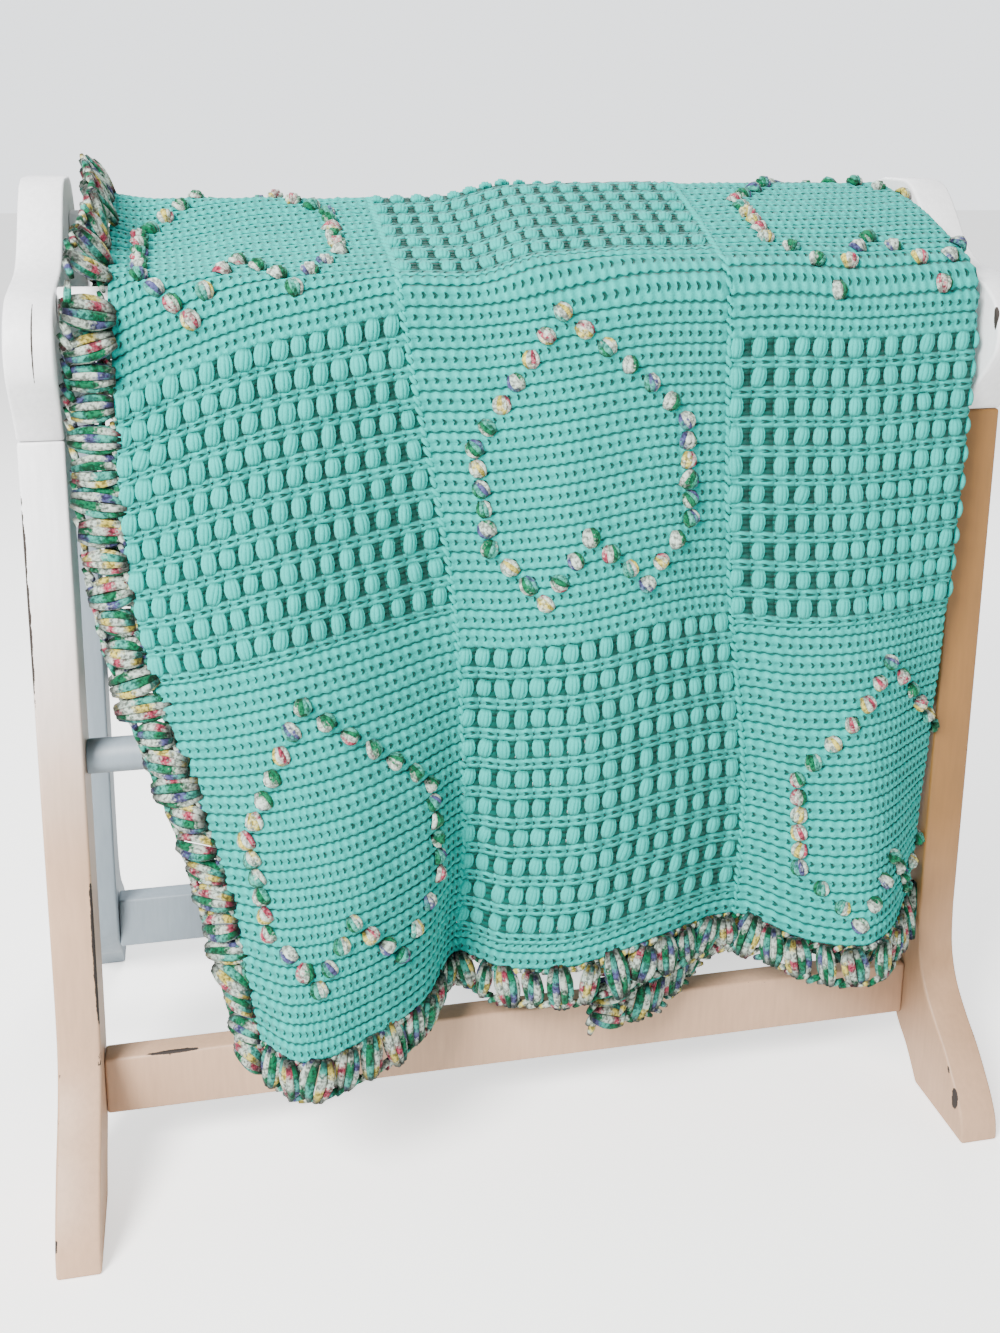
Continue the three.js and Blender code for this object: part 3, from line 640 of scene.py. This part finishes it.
def paint_material(name, paint, low_paint, turn, wood, wear):
    """Worn paint that turns to low_paint below the height turn: painted light and shade that change with
    height.
    """
    tree, shader = new_material(name, paint)
    place = add(tree, "TexCoord").outputs["Object"]
    edge = kept(tree, "worn")
    marks = 0.0
    for centre, reach in MARKS:
        vector = place
        for operation, by in (("SUBTRACT", [c * MM for c in centre]),
                              ("MULTIPLY", [1 / (r * MM) for r in reach])):
            vector = add(tree, "VectorMath", {0: vector, 1: by}, operation=operation).outputs["Vector"]
        far = add(tree, "VectorMath", {0: vector}, operation="LENGTH").outputs["Value"]
        marks = calc(tree, "MAXIMUM", smoothly(tree, far, 1.25, 0.3), marks)
    paint_out = use(tree, "Worn paint", Vector=place, Paint=paint, Low_paint=low_paint, Wood=wood, Edge=edge,
                    Wear=wear, Marks=marks, Turn=turn)
    tree.links.new(paint_out["Colour"], shader.inputs["Base Color"])
    tree.links.new(plus(tree, times(tree, paint_out["Bare"], 0.3), 0.5),
                   shader.inputs["Roughness"])
    raised(tree, shader, 0.35, 0.0006, paint_out["Height"])


def wool_shader(shader):
    shader.inputs["Roughness"].default_value = 0.9
    shader.inputs["Specular IOR Level"].default_value = 0.12
    shader.inputs["Sheen Weight"].default_value = 0.06
    shader.inputs["Sheen Roughness"].default_value = 0.5


def rows_group():
    """Pairs of crocheted rows: bumps, a hooked hole between the two rows and a groove at each pair."""
    tree, given, out = new_group(
        "Crochet rows", [("Vector", "vector", None), ("Across", "value", 0.0), ("Along", "value", 0.0)],
        [("Height", "value"), ("Hollow", "value")])
    uneven = noise(tree, given["Vector"], 70.0, 2.0)
    across = plus(tree, given["Across"], times(tree, uneven, 0.5))
    off = calc(tree, "ABSOLUTE", minus(tree, calc(tree, "FRACT", given["Along"]), 0.5))
    # a stitch leans, so the bumps of the upper row stand a little to the left of those below
    leaned = plus(tree, across, times(tree, calc(tree, "FRACT", given["Along"]), 0.35))
    wave = calc(tree, "COSINE", times(tree, leaned, 2 * math.pi))
    column = minus(tree, 0.5, times(tree, wave, 0.5))
    swell = calc(tree, "SINE", times(tree, off, 2 * math.pi))
    bump = times(tree, plus(tree, 0.4, times(tree, swell, 0.6)),
                 plus(tree, 0.55, times(tree, column, 0.45)))
    hooked = plus(tree, across, times(tree, off, 1.3))
    beside = calc(tree, "ABSOLUTE", minus(tree, calc(tree, "FRACT", hooked), 0.5))
    size = plus(tree, 0.09, times(tree, uneven, 0.18))
    hole = times(tree, smoothly(tree, beside, size, 0.04), smoothly(tree, off, 0.17, 0.06))
    scallop = plus(tree, off, times(tree, column, -0.075))
    groove = times(tree, smoothly(tree, scallop, 0.39, 0.475), 0.8)
    # Holes and grooves: the places that get painted shade.
    hollow_shade = calc(tree, "MAXIMUM", hole, groove)
    tree.links.new(hollow_shade, out["Hollow"])
    tree.links.new(minus(tree, bump, hollow_shade), out["Height"])


def cloth_material(settings):
    """Crocheted wool with painted shade in the holes and grooves of each pair of rows and behind the puffs of
    the openwork, and painted light on the raised stitches.
    """
    tree, shader = new_material("Mint crochet", settings.wool)
    wool_shader(shader)
    place = add(tree, "TexCoord").outputs["Object"]
    fibre = use(tree, "Wool fibre", Vector=place, Size=1.0)
    across, along, _ = add(tree, "SeparateXYZ", {0: add(tree, "UVMap", uv_map="stitches").outputs[0]}).outputs
    opened = kept(tree, "openwork")
    closer = plus(tree, 1.0, times(tree, opened, 1 / BAND - 1))
    rows = use(tree, "Crochet rows", Vector=place, Across=across, Along=times(tree, along, closer))
    # Painted shade behind the puffs of the openwork, and in the holes and grooves.
    behind = times(tree, smoothly(tree, along, BAND - 0.03, BAND + 0.03), opened)
    deep = times(tree, calc(tree, "MAXIMUM", rows["Hollow"], behind), 0.85)
    # Painted light on the raised stitches and painted shade on the low ones.
    lit = rescaled(tree, rows["Height"], 0.1, 0.95, 0.55, 1.15)
    tone = times(tree, fibre["Shade"], lit)
    shade = even(tree, tone)
    wool = mixed(tree, 1.0, settings.wool, shade, "MULTIPLY")
    tree.links.new(mixed(tree, deep, wool, settings.hollow_shade), shader.inputs["Base Color"])
    height = plus(tree, rows["Height"], times(tree, fibre["Height"], 0.25))
    raised(tree, shader, 1.0, 0.0026, height)


def puff_material(settings):
    """Strands of the puff stitches, with painted shade at their ends where they go into the cloth."""
    tree, shader = new_material("Mint strands", settings.wool)
    wool_shader(shader)
    fibre = use(tree, "Wool fibre", Vector=add(tree, "TexCoord").outputs["Object"], Size=1.2)
    along = kept(tree, "along")
    end = calc(tree, "ABSOLUTE", minus(tree, along, 0.5))
    # Painted shade at the ends of the strands, where they go into the cloth.
    end_shade = times(tree, smoothly(tree, end, 0.34, 0.5), 0.45)
    shade = even(tree, fibre["Shade"])
    wool = mixed(tree, 1.0, settings.wool, shade, "MULTIPLY")
    tree.links.new(mixed(tree, end_shade, wool, settings.hollow_shade), shader.inputs["Base Color"])
    raised(tree, shader, 0.5, 0.0006, fibre["Height"])


def yarn_material(name, settings, size, spread, dark_end, deepest, lightest):
    """Mixed yarn of the border and the bobbles, in shade between its plies and where it goes into the
    cloth: size of the fibres, spread of the colours, dark_end and the shades deepest and lightest."""
    tree, shader = new_material(name, settings.white)
    wool_shader(shader)
    place = add(tree, "TexCoord").outputs["Object"]
    fibre = use(tree, "Wool fibre", Vector=place, Size=size)
    named = {key: kept(tree, key.lower())
             for key in ("Tint", "Strand", "Along")}
    yarn = use(tree, "Mixed yarn", Vector=place, Spread=spread, **named)["Colour"]
    # Painted shade where the strands go into the cloth.
    end = calc(tree, "ABSOLUTE", minus(tree, named["Along"], 0.5))
    end_shade = minus(tree, 1.0, times(tree, smoothly(tree, end, 0.22, 0.5), dark_end))
    # Painted shade between the plies.
    plies = noise(tree, place, 330.0, 2.0)
    hollows = rescaled(tree, plies, 0.38, 0.56, deepest, lightest)
    tone = times(tree, times(tree, fibre["Shade"], hollows), end_shade)
    shade = even(tree, tone)
    tree.links.new(mixed(tree, 1.0, yarn, shade, "MULTIPLY"), shader.inputs["Base Color"])
    height = plus(tree, plies, times(tree, fibre["Height"], 0.3))
    raised(tree, shader, 0.8, 0.002, height)


# ---- operators ----

class RACK_OT_materials(bpy.types.Operator):
    """Make the paints and wools"""
    bl_idname = "quilt_rack.materials"
    bl_label = "Materials"

    def execute(self, context):
        rack, blanket = context.scene.quilt_rack, context.scene.quilt_blanket
        worn_paint_group()
        wool_group()
        rows_group()
        mixed_yarn_group(blanket)
        # Cream paint: white high up and painted warm shade in cream lower down.
        paint_material("Cream paint", rack.white, rack.cream, 0.40, rack.wood, 0.55)
        # Painted shade in grey for the pieces in shadow.
        paint_material("Grey paint", rack.grey, rack.grey, 0.40, rack.wood, 0.35)
        # The right front leg: painted warm shade above the height 0.08, cream on the foot below.
        paint_material("Tan paint", rack.tan, rack.cream, 0.08, rack.wood, 0.55)
        cloth_material(blanket)
        puff_material(blanket)
        yarn_material("Border yarn", blanket, 1.4, 1.0, 0.85, 0.22, 0.86)
        yarn_material("Bobble yarn", blanket, 1.0, 0.2, 0.5, 0.34, 1.08)
        return {"FINISHED"}


def leg_outline(side):
    top = HEAD_BASE - JOINT
    inner = LEG_SPAN / 2 - LEG_DEPTH
    foot = [*smooth_outline(FOOT_OUTER, 36), *smooth_outline(FOOT_INNER, 24)]
    return [(side * reach, z) for reach, z in [(LEG_SPAN / 2, top), *foot, (inner, top)]]


class RACK_OT_ends(bpy.types.Operator):
    """Cut the head boards and legs"""
    bl_idname = "quilt_rack.ends"
    bl_label = "End boards"

    def execute(self, context):
        edge = context.scene.quilt_rack.edge
        half = smooth_outline(HEAD_OUTLINE, 84)
        head = [(-reach, z) for reach, z in half] + [(reach, z) for reach, z in reversed(half)]
        for name, low_x in (("left", -RACK_WIDTH / 2), ("right", RACK_WIDTH / 2 - BOARD)):
            # The right front leg gets the painted warm shade.
            front_paint = "Tan paint" if name == "right" else "Cream paint"
            # The rear legs get painted shade in grey.
            for piece, outline, paint in (("head_board", head, "Cream paint"),
                                          ("leg_front", leg_outline(-1), front_paint),
                                          ("leg_rear", leg_outline(1), "Grey paint")):
                node = f"{piece}_{name}"
                bm = board(outline, low_x, low_x + BOARD, edge)
                finished("board." + node, mesh_of(bm, node), paint, "rack_paint", node)
        return {"FINISHED"}


class RACK_OT_bars(bpy.types.Operator):
    """Turn the rails and dowels and cut the stretchers"""
    bl_idname = "quilt_rack.bars"
    bl_label = "Rails and stretchers"

    def execute(self, context):
        span = RACK_WIDTH - 2 * BOARD - 2 * JOINT
        rails = [("rail_top", 0, TOP_RAIL_Z), ("rail_front", -SIDE_RAIL_Y, SIDE_RAIL_Z),
                 ("rail_rear", SIDE_RAIL_Y, SIDE_RAIL_Z), ("dowel_front", -DOWEL_Y, DOWEL_Z),
                 ("dowel_rear", DOWEL_Y, DOWEL_Z)]
        for node, y, z in rails:
            bm = bmesh.new()
            place = Matrix.Translation((0, y, z)) @ Matrix.Rotation(math.pi / 2, 4, "Y")
            bmesh.ops.create_cone(bm, cap_ends=True, segments=40, radius1=RAIL_RADIUS, radius2=RAIL_RADIUS,
                                  depth=span, matrix=place)
            rounded(bm, 0.001, sharp_edges(bm, math.radians(60)))
            # The dowels get painted shade in grey.
            paint = "Grey paint" if node.startswith("dowel") else "Cream paint"
            finished("bar." + node, mesh_of(bm, node), paint, "rack_paint", node)
        size = Matrix.Diagonal((span, STRETCHER["depth"], STRETCHER["height"], 1))
        centre_z = STRETCHER["bottom"] + STRETCHER["height"] / 2
        # The rear stretcher gets painted shade in grey.
        for node, side, paint in (("stretcher_front", -1, "Cream paint"),
                                  ("stretcher_rear", 1, "Grey paint")):
            bm = bmesh.new()
            place = Matrix.Translation((0, side * STRETCHER["y"], centre_z))
            bmesh.ops.create_cube(bm, size=1, matrix=place @ size)
            rounded(bm, context.scene.quilt_rack.edge, sharp_edges(bm, math.radians(60)))
            finished("bar." + node, mesh_of(bm, node), paint, "rack_paint", node)
        return {"FINISHED"}


def strip_lines(zones):
    """Grid lines along a strip, as distances from the hem; for each line its row in a relief table and
    whether that is the openwork's; for each step between lines whether it is openwork, where it starts
    and ends in the row, and whether it has slits; and the middles of the rows of puffs."""
    lines, relief, steps, puff_rows = [0.0], [(0, False)], [], []
    plain, opened = len(PLAIN_RELIEF), len(OPEN_RELIEF)
    for kind, size, rows in zones:
        start = lines[-1]
        size *= MM
        if kind == "plain":
            count = round(size / PLAIN_ROW)
            for k in range(count):
                lines.append(start + size * (k + 1) / count)
                relief.append(((k + 1) % plain, False))
                steps.append((False, (k % plain) / plain, (k % plain + 1) / plain, False))
        else:
            for row in range(rows):
                base = start + size * row / rows
                for k in range(opened):
                    lines.append(base + (k + 1) / opened * size / rows)
                    relief.append(((k + 1) % opened, True))
                    steps.append((True, k / opened, (k + 1) / opened, k >= BAND_STEPS))
                puff_rows.append(base + size / rows * (BAND + 1) / 2)
    relief[-1] = (0, False)
    return np.array(lines) * (LENGTH / lines[-1]), relief, steps, puff_rows


def strip_mesh(number, zones, rng):
    """Grid of crocheted cloth with its rows in relief and its openwork cut through."""
    lines, relief, steps, _ = strip_lines(zones)
    rows = len(lines) - 1
    bm = bmesh.new()
    bmesh.ops.create_grid(bm, x_segments=COLUMNS, y_segments=rows, size=1)
    opened = bm.faces.layers.float.new("openwork")
    uv = bm.loops.layers.uv.new("stitches")
    bm.verts.index_update()
    column = np.array([round((v.co.x + 1) / 2 * COLUMNS) for v in bm.verts])
    row = np.array([round((v.co.y + 1) / 2 * rows) for v in bm.verts])
    low, high = number * STRIP + SEAM / 2, (number + 1) * STRIP - SEAM / 2
    if number == 0:
        low = 0.0
    if number == len(STRIPS) - 1:
        high = UNDER_END
    openwork = np.array([is_open for _, is_open in relief])[row]
    beside = openwork & (column % PUFF_COLUMNS == PUFF_COLUMNS - 1) & (column < COLUMNS - 1)
    u = low + (high - low) * (column + beside * CLOSED) / COLUMNS
    v = lines[row]
    point, _, _, facing = lay(u, v)
    heights = np.array([(OPEN_RELIEF if is_open else PLAIN_RELIEF)[phase] for phase, is_open in relief])
    height = heights[row, column % 2] * (1 + UNEVEN * rng.standard_normal(len(row)))
    height += 0.0006 * np.sin(u * 61 + v * 23) * np.sin(v * 47 - u * 17)
    point = point + facing * height[:, None]
    for vert, place in zip(bm.verts, point):
        vert.co = place
    gaps = []
    for face in bm.faces:
        corners = [vert.index for vert in face.verts]
        i, j = min(column[corners]), min(row[corners])
        is_open, start, end, is_gap = steps[j]
        face[opened] = float(is_open)
        face.smooth = True
        for loop in face.loops:
            k = loop.vert.index
            loop[uv].uv = (column[k] / 2, start if row[k] == j else end)
        if is_gap and i % PUFF_COLUMNS == PUFF_COLUMNS - 1 and i < COLUMNS - 1:
            gaps.append(face)
    bmesh.ops.delete(bm, geom=gaps, context="FACES")
    return mesh_of(bm, "strip")


# ---- stitches on the cloth: rows of x and z in the middle, x and z at the ends, radius, in mm ----
PUFF = [(-4.1, 1.5, -2.3, 0.0, 2.3), (-1.4, 2.8, -0.8, 0.4, 2.5),
        (1.6, 2.4, 0.9, 0.3, 2.3), (4.2, 0.9, 2.3, -0.3, 2.1)]
KNOB = [(-4.6, 4.0, -2.0, 0.8, 2.8), (-1.4, 6.4, -0.6, 1.0, 2.9),
        (1.8, 6.2, 0.8, 1.0, 2.8), (4.8, 3.6, 2.1, 0.8, 2.7)]
RIM = [(0, 0, 0, 0, 2.4)]
PUFF_LENGTH, KNOB_LENGTH = 0.0164, 0.0150
PUFF_IN_CELL = 0.39          # place of a puff's middle in its four columns
SEAM_PITCH = 0.0081
# A border puff is a ring of strands. It leans along the edge and out of the cloth, and turns, unevenly.
BORDER_STRANDS, BORDER_RADIUS = 8, 3.6
BORDER_CUTS = (-0.6, -0.2, 0.2, 0.6)
BORDER_UNEVEN = (0.2, 0.14, 0.42)
CHAIN_PITCH = 0.0095
CHAIN_SLANT = 0.45


def ring(strands, wide, deep, wide_end, deep_end, radius):
    """Strands side by side round an oval."""
    rows = []
    for k in range(strands):
        angle = 2 * math.pi * (k + 0.5) / strands
        rows.append((wide * math.cos(angle), deep * math.sin(angle),
                     wide_end * math.cos(angle), deep_end * math.sin(angle), radius))
    return rows


def heart_chart():
    """Places of a heart's bobbles: sideways from the middle and rows below its point."""
    chart = [(0.0, 0), (0.0, HEART_STRAIGHT_ROW)]
    for row in range(1, HEART_STRAIGHT_ROW + 1):
        reach = min(row * BOBBLE_STEP, HEART_WIDEST)
        chart += [(reach, row), (-reach, row)]
    for row in range(HEART_STRAIGHT_ROW + 1, HEART_TIP_ROW):
        past = (row - HEART_STRAIGHT_ROW) * BOBBLE_STEP
        chart += [(side * reach, row) for side in (-1, 1) for reach in (HEART_WIDEST - past, past)]
    return chart + [(HEART_WIDEST / 2, HEART_TIP_ROW), (-HEART_WIDEST / 2, HEART_TIP_ROW)]


def heart_tops(zones):
    """Upper edge of each plain square, from the front hem."""
    tops, end = [], 0
    for kind, size, _ in zones:
        end += size
        if kind == "plain" and size > HEART_SQUARE:
            tops.append(min(end, LENGTH / MM) * MM)
    return tops


def on_cloth(shape, u, v, rng, lift, turn, sway):
    """Copies of a shape on the cloth, with the small unevenness of handwork."""
    u, v = np.asarray(u), np.asarray(v)
    point, side, along, facing = lay(u, v)
    angle = (turn + sway * rng.standard_normal(len(u)))[:, None]
    leaned = side * np.cos(angle) + along * np.sin(angle)
    upright = along * np.cos(angle) - side * np.sin(angle)
    size = 1 + 0.05 * rng.standard_normal((len(u), 3))
    return scattered(shape, point + facing * lift, leaned, upright, size, rng.random(len(u)))


class BLANKET_OT_strips(bpy.types.Operator):
    """Crochet the four strips with their puffs, and the hearts of bobbles"""
    bl_idname = "quilt_rack.strips"
    bl_label = "Strips"

    def execute(self, context):
        settings = context.scene.quilt_blanket
        rng = np.random.default_rng(11)
        for number, (name, zones, aside) in enumerate(STRIPS):
            strip = finished(f"cloth.{name}", strip_mesh(number, zones, rng), "Mint crochet",
                             "mint_crochet", f"strip_{name}")
            solid = strip.modifiers.new("Thickness", "SOLIDIFY")
            solid.thickness = settings.thickness
            solid.offset = 0
            puff_rows = strip_lines(zones)[3]
            cell = STRIP / (COLUMNS / PUFF_COLUMNS)
            in_row = number * STRIP + cell * (np.arange(COLUMNS // PUFF_COLUMNS) + PUFF_IN_CELL)
            u, v = np.tile(in_row, len(puff_rows)), np.repeat(puff_rows, len(in_row))
            puffs = on_cloth(bundle(PUFF, PUFF_LENGTH, 1.9), u, v, rng, lift=0.0006, turn=-0.12, sway=0.08)
            pieces = [finished(f"puffs.{name}", puffs, "Mint strands", "mint_crochet")]
            u, v = [], []
            for top in heart_tops(zones):
                for side, row in heart_chart():
                    u.append((number + 0.5) * STRIP + aside + side)
                    v.append(top - HEART_MARGIN - row * BOBBLE_ROW)
            knobs = on_cloth(bundle(KNOB, KNOB_LENGTH, 1.7), u, v, rng, lift=0.001, turn=0.3, sway=0.4)
            pieces.append(finished(f"bobbles.{name}", knobs, "Bobble yarn", "border_crochet"))
        for number in range(1, len(STRIPS)):
            v = np.arange(0.004, LENGTH, SEAM_PITCH)
            seam = on_cloth(bundle(RIM, 0.0105, 1.2), np.full(len(v), number * STRIP), v, rng,
                            lift=0.0012, turn=0.5, sway=0.12)
            finished(f"seam.{number}", seam, "Mint strands", "mint_crochet")
        return {"FINISHED"}


def spaced(point, *others, pitch):
    """Evenly spaced places along a line of points, with the other values carried along."""
    reached = np.concatenate([[0], np.cumsum(np.linalg.norm(np.diff(point, axis=0), axis=1))])
    count = max(round(reached[-1] / pitch), 1)
    at = (np.arange(count) + 0.5) * reached[-1] / count

    def carried(values):
        columns = values.reshape(len(values), -1).T
        made = np.array([np.interp(at, reached, column) for column in columns]).T
        return made if values.ndim > 1 else made[:, 0]

    return [carried(values) for values in (point, *others)]


def hem_line(low, high, rear):
    """Edge of a hem: point, direction out of the cloth, facing, how far the border sits off it and how
    deep its puffs are."""
    u = np.linspace(low, high, 240)
    point, _, along, facing = lay(u, np.full(len(u), LENGTH if rear else 0.0))
    doubled = np.where(u < FOLD_AT, ramp(*UNDER_RISE, u), 1)
    lift = np.where(u > UNDER_START, 0.002, 0.0055 * doubled)
    depth = np.where(u > UNDER_START, 0.62, 1 - 0.22 * doubled)
    return point, along * (1 if rear else -1), facing, lift, depth


def side_line(u, edge, lean, lift, depth):
    """Side edge from hem to hem with both corners, leaning where it is pressed to the board."""
    v = np.linspace(-RUFFLE_REACH, LENGTH + RUFFLE_REACH, 500)
    held = np.clip(v, 0, LENGTH)
    point, side, along, facing = lay(np.full(len(v), u), held)
    below = over(np.array([u]))[0] if u < FOLD_AT else folded_over(np.array([FOLDED_EDGE]))[0]
    s = held - below
    tilt = (lean * (ramp(-0.060, 0.120, s) - ramp(2 * CREST - 0.120, 2 * CREST + 0.060, s)))[:, None]
    near = ramp(-0.04, 0, s) - ramp(2 * CREST, 2 * CREST + 0.04, s)
    flat = side * edge
    out = flat * np.cos(tilt) + facing * np.sin(tilt)
    front = facing * np.cos(tilt) - flat * np.sin(tilt)
    point = point + along * (v - held)[:, None] + flat * (0.0078 * np.sin(tilt))
    lift, depth = (low + (high - low) * near for low, high in (lift, depth))
    return point, out, front, lift, depth


def border(name, line, rng, node):
    """Puff stitches side by side along an edge, with a chain at both ends of them."""
    point, out, facing, lift, depth = line
    strands = ring(BORDER_STRANDS, 9.5, 4.6, 5.6, 2.6, BORDER_RADIUS)
    puff = bundle(strands, RUFFLE_REACH + 0.004, 2.2, 6, BORDER_CUTS)
    meshes = []
    for shape, pitch, reach, turned, thick, lifted in (
            (puff, RUFFLE_PITCH, RUFFLE_REACH / 2 - 0.001, False, 1.0, 1.0),
            (bundle(RIM, 0.0125, 1.5), CHAIN_PITCH, RUFFLE_REACH - 0.0015, True, 1.25, 1.0),
            (bundle(RIM, 0.0115, 1.4), CHAIN_PITCH, 0.0015, True, 1.1, 0.3)):
        p, o, f, li, de = spaced(point, out, facing, lift, depth, pitch=pitch)
        o, f = unit(o), unit(f)
        side = unit(np.cross(o, f))
        count = len(p)
        wobble = rng.standard_normal((count, 3)) * BORDER_UNEVEN
        if turned:
            along = unit(side + o * (CHAIN_SLANT + wobble[:, :1]) + f * wobble[:, 1:2])
            across = unit(np.cross(along, f))
        else:
            along = unit(o + side * wobble[:, :1] + f * wobble[:, 1:2])
            across = unit(np.cross(along, f) + f * wobble[:, 2:])
        size = thick * (1 + 0.09 * rng.standard_normal((count, 3)))
        if not turned:
            size[:, 2] *= de
        spot = p + o * reach + f * (li * lifted)[:, None]
        meshes.append(scattered(shape, spot, across, along, size, rng.random(count)))
    bm = bmesh.new()
    for mesh in meshes:
        bm.from_mesh(mesh)
    return finished(f"border.{name}", mesh_of(bm, name), "Border yarn", "border_crochet", node)


class BLANKET_OT_border(bpy.types.Operator):
    """Crochet the border of puffs in mixed yarn"""
    bl_idname = "quilt_rack.border"
    bl_label = "Border"

    def execute(self, context):
        rng = np.random.default_rng(5)
        lines = {
            "left": side_line(0.0, -1, LEAN, (0.001, 0.0045), (0.95, 0.85)),
            "front": hem_line(0, UNDER_START, False),
            "rear": hem_line(0, UNDER_START, True),
            "folded_front": hem_line(UNDER_START + RUFFLE_REACH, UNDER_END, False),
            "folded_rear": hem_line(UNDER_START + RUFFLE_REACH, UNDER_END, True),
            "folded_side": side_line(UNDER_END, 1, 0.0, (0.0005, 0.0005), (0.45, 0.38)),
        }
        for name, line in lines.items():
            border(name, line, rng, f"ruffle_{name}")
        return {"FINISHED"}


# Name, place, width in metres and colour; the power is a setting of the same name.
LIGHTS = [
    ("key", (-1.5, -1.7, 2.1), 1.0, (1.0, 0.99, 0.97)),
    ("fill", (2.0, -1.2, 0.7), 1.2, (1.0, 0.86, 0.70)),
    ("back", (0.5, 1.9, 2.1), 1.4, (0.96, 0.98, 1.0)),
]
LIT_POINT = Vector((0, 0, 0.5))
# Angles in degrees: to the right of +Y, downwards and the roll.
CAMERA = {"place": (-0.267, -1.226, 0.879), "angles": (12.2, 13.04, 0.63), "lens": 38.38, "shift": -0.1662}


class STAGE_OT_build(bpy.types.Operator):
    """Set the floor, the light and the camera"""
    bl_idname = "quilt_rack.stage"
    bl_label = "Stage"

    def execute(self, context):
        settings = context.scene.quilt_stage
        tree, shader = new_material("Pale floor", settings.floor)
        shader.inputs["Base Color"].default_value = (*settings.floor, 1)
        shader.inputs["Roughness"].default_value = 0.9
        glow = times(tree, add(tree, "LightPath").outputs["Is Camera Ray"], 1.1)
        tree.links.new(even(tree, glow), shader.inputs["Emission Color"])
        shader.inputs["Emission Strength"].default_value = 1.0
        bm = bmesh.new()
        bmesh.ops.create_grid(bm, x_segments=1, y_segments=1, size=12)
        mesh = mesh_of(bm, "floor")
        mesh.materials.append(bpy.data.materials["Pale floor"])
        floor = bpy.data.objects.new("floor", mesh)
        context.scene.collection.objects.link(floor)

        world = bpy.data.worlds.new("Soft studio")
        world.use_nodes = True
        tree = world.node_tree
        sky = tree.nodes["Background"]
        sky.inputs["Color"].default_value = (0.94, 0.97, 1.0, 1)
        seen_directly = add(tree, "LightPath").outputs["Is Camera Ray"]
        strength = plus(tree, times(tree, seen_directly, 1.5), 0.7)
        tree.links.new(strength, sky.inputs["Strength"])
        context.scene.world = world
        for name, place, size, tint in LIGHTS:
            light = bpy.data.lights.new(name, "AREA")
            light.size = size
            light.energy = getattr(settings, name)
            light.color = tint
            lamp = bpy.data.objects.new(name, light)
            lamp.location = place
            lamp.rotation_euler = (LIT_POINT - Vector(place)).to_track_quat("-Z", "Y").to_euler()
            context.scene.collection.objects.link(lamp)

        camera = bpy.data.cameras.new("camera")
        camera.sensor_width = 36
        camera.lens = CAMERA["lens"]
        camera.shift_y = CAMERA["shift"]
        seen = bpy.data.objects.new("camera", camera)
        yaw, pitch, roll = (math.radians(angle) for angle in CAMERA["angles"])
        ahead = Vector((math.sin(yaw) * math.cos(pitch), math.cos(yaw) * math.cos(pitch), -math.sin(pitch)))
        right = Vector((math.cos(yaw), -math.sin(yaw), 0))
        up = right.cross(ahead)
        right, up = (right * math.cos(roll) + up * math.sin(roll),
                     up * math.cos(roll) - right * math.sin(roll))
        turned = Matrix((right, up, -ahead)).transposed().to_4x4()
        seen.matrix_world = Matrix.Translation(CAMERA["place"]) @ turned
        context.scene.collection.objects.link(seen)
        context.scene.camera = seen
        return {"FINISHED"}


class RACK_PT_panel(bpy.types.Panel):
    bl_idname = "RACK_PT_panel"
    bl_label = "Quilt rack"
    bl_space_type = "VIEW_3D"
    bl_region_type = "UI"
    bl_category = "Quilt rack"

    def draw(self, context):
        layout = self.layout
        for group in (context.scene.quilt_rack, context.scene.quilt_blanket, context.scene.quilt_stage):
            box = layout.box()
            for name in group.__annotations__:
                box.prop(group, name)
        for operator in OPERATORS:
            layout.operator(operator.bl_idname)


OPERATORS = (RACK_OT_materials, RACK_OT_ends, RACK_OT_bars, BLANKET_OT_strips, BLANKET_OT_border,
             STAGE_OT_build)
GROUPS = {"quilt_rack": RackSettings, "quilt_blanket": BlanketSettings, "quilt_stage": StageSettings}


def register():
    for cls in (*GROUPS.values(), *OPERATORS, RACK_PT_panel):
        bpy.utils.register_class(cls)
    for name, group in GROUPS.items():
        setattr(bpy.types.Scene, name, bpy.props.PointerProperty(type=group))


def unregister():
    for name in GROUPS:
        delattr(bpy.types.Scene, name)
    for cls in reversed((*GROUPS.values(), *OPERATORS, RACK_PT_panel)):
        bpy.utils.unregister_class(cls)


def main():
    register()
    bpy.ops.quilt_rack.materials()
    bpy.ops.quilt_rack.ends()
    bpy.ops.quilt_rack.bars()
    bpy.ops.quilt_rack.strips()
    bpy.ops.quilt_rack.border()
    bpy.ops.quilt_rack.stage()


if __name__ == "__main__":
    main()
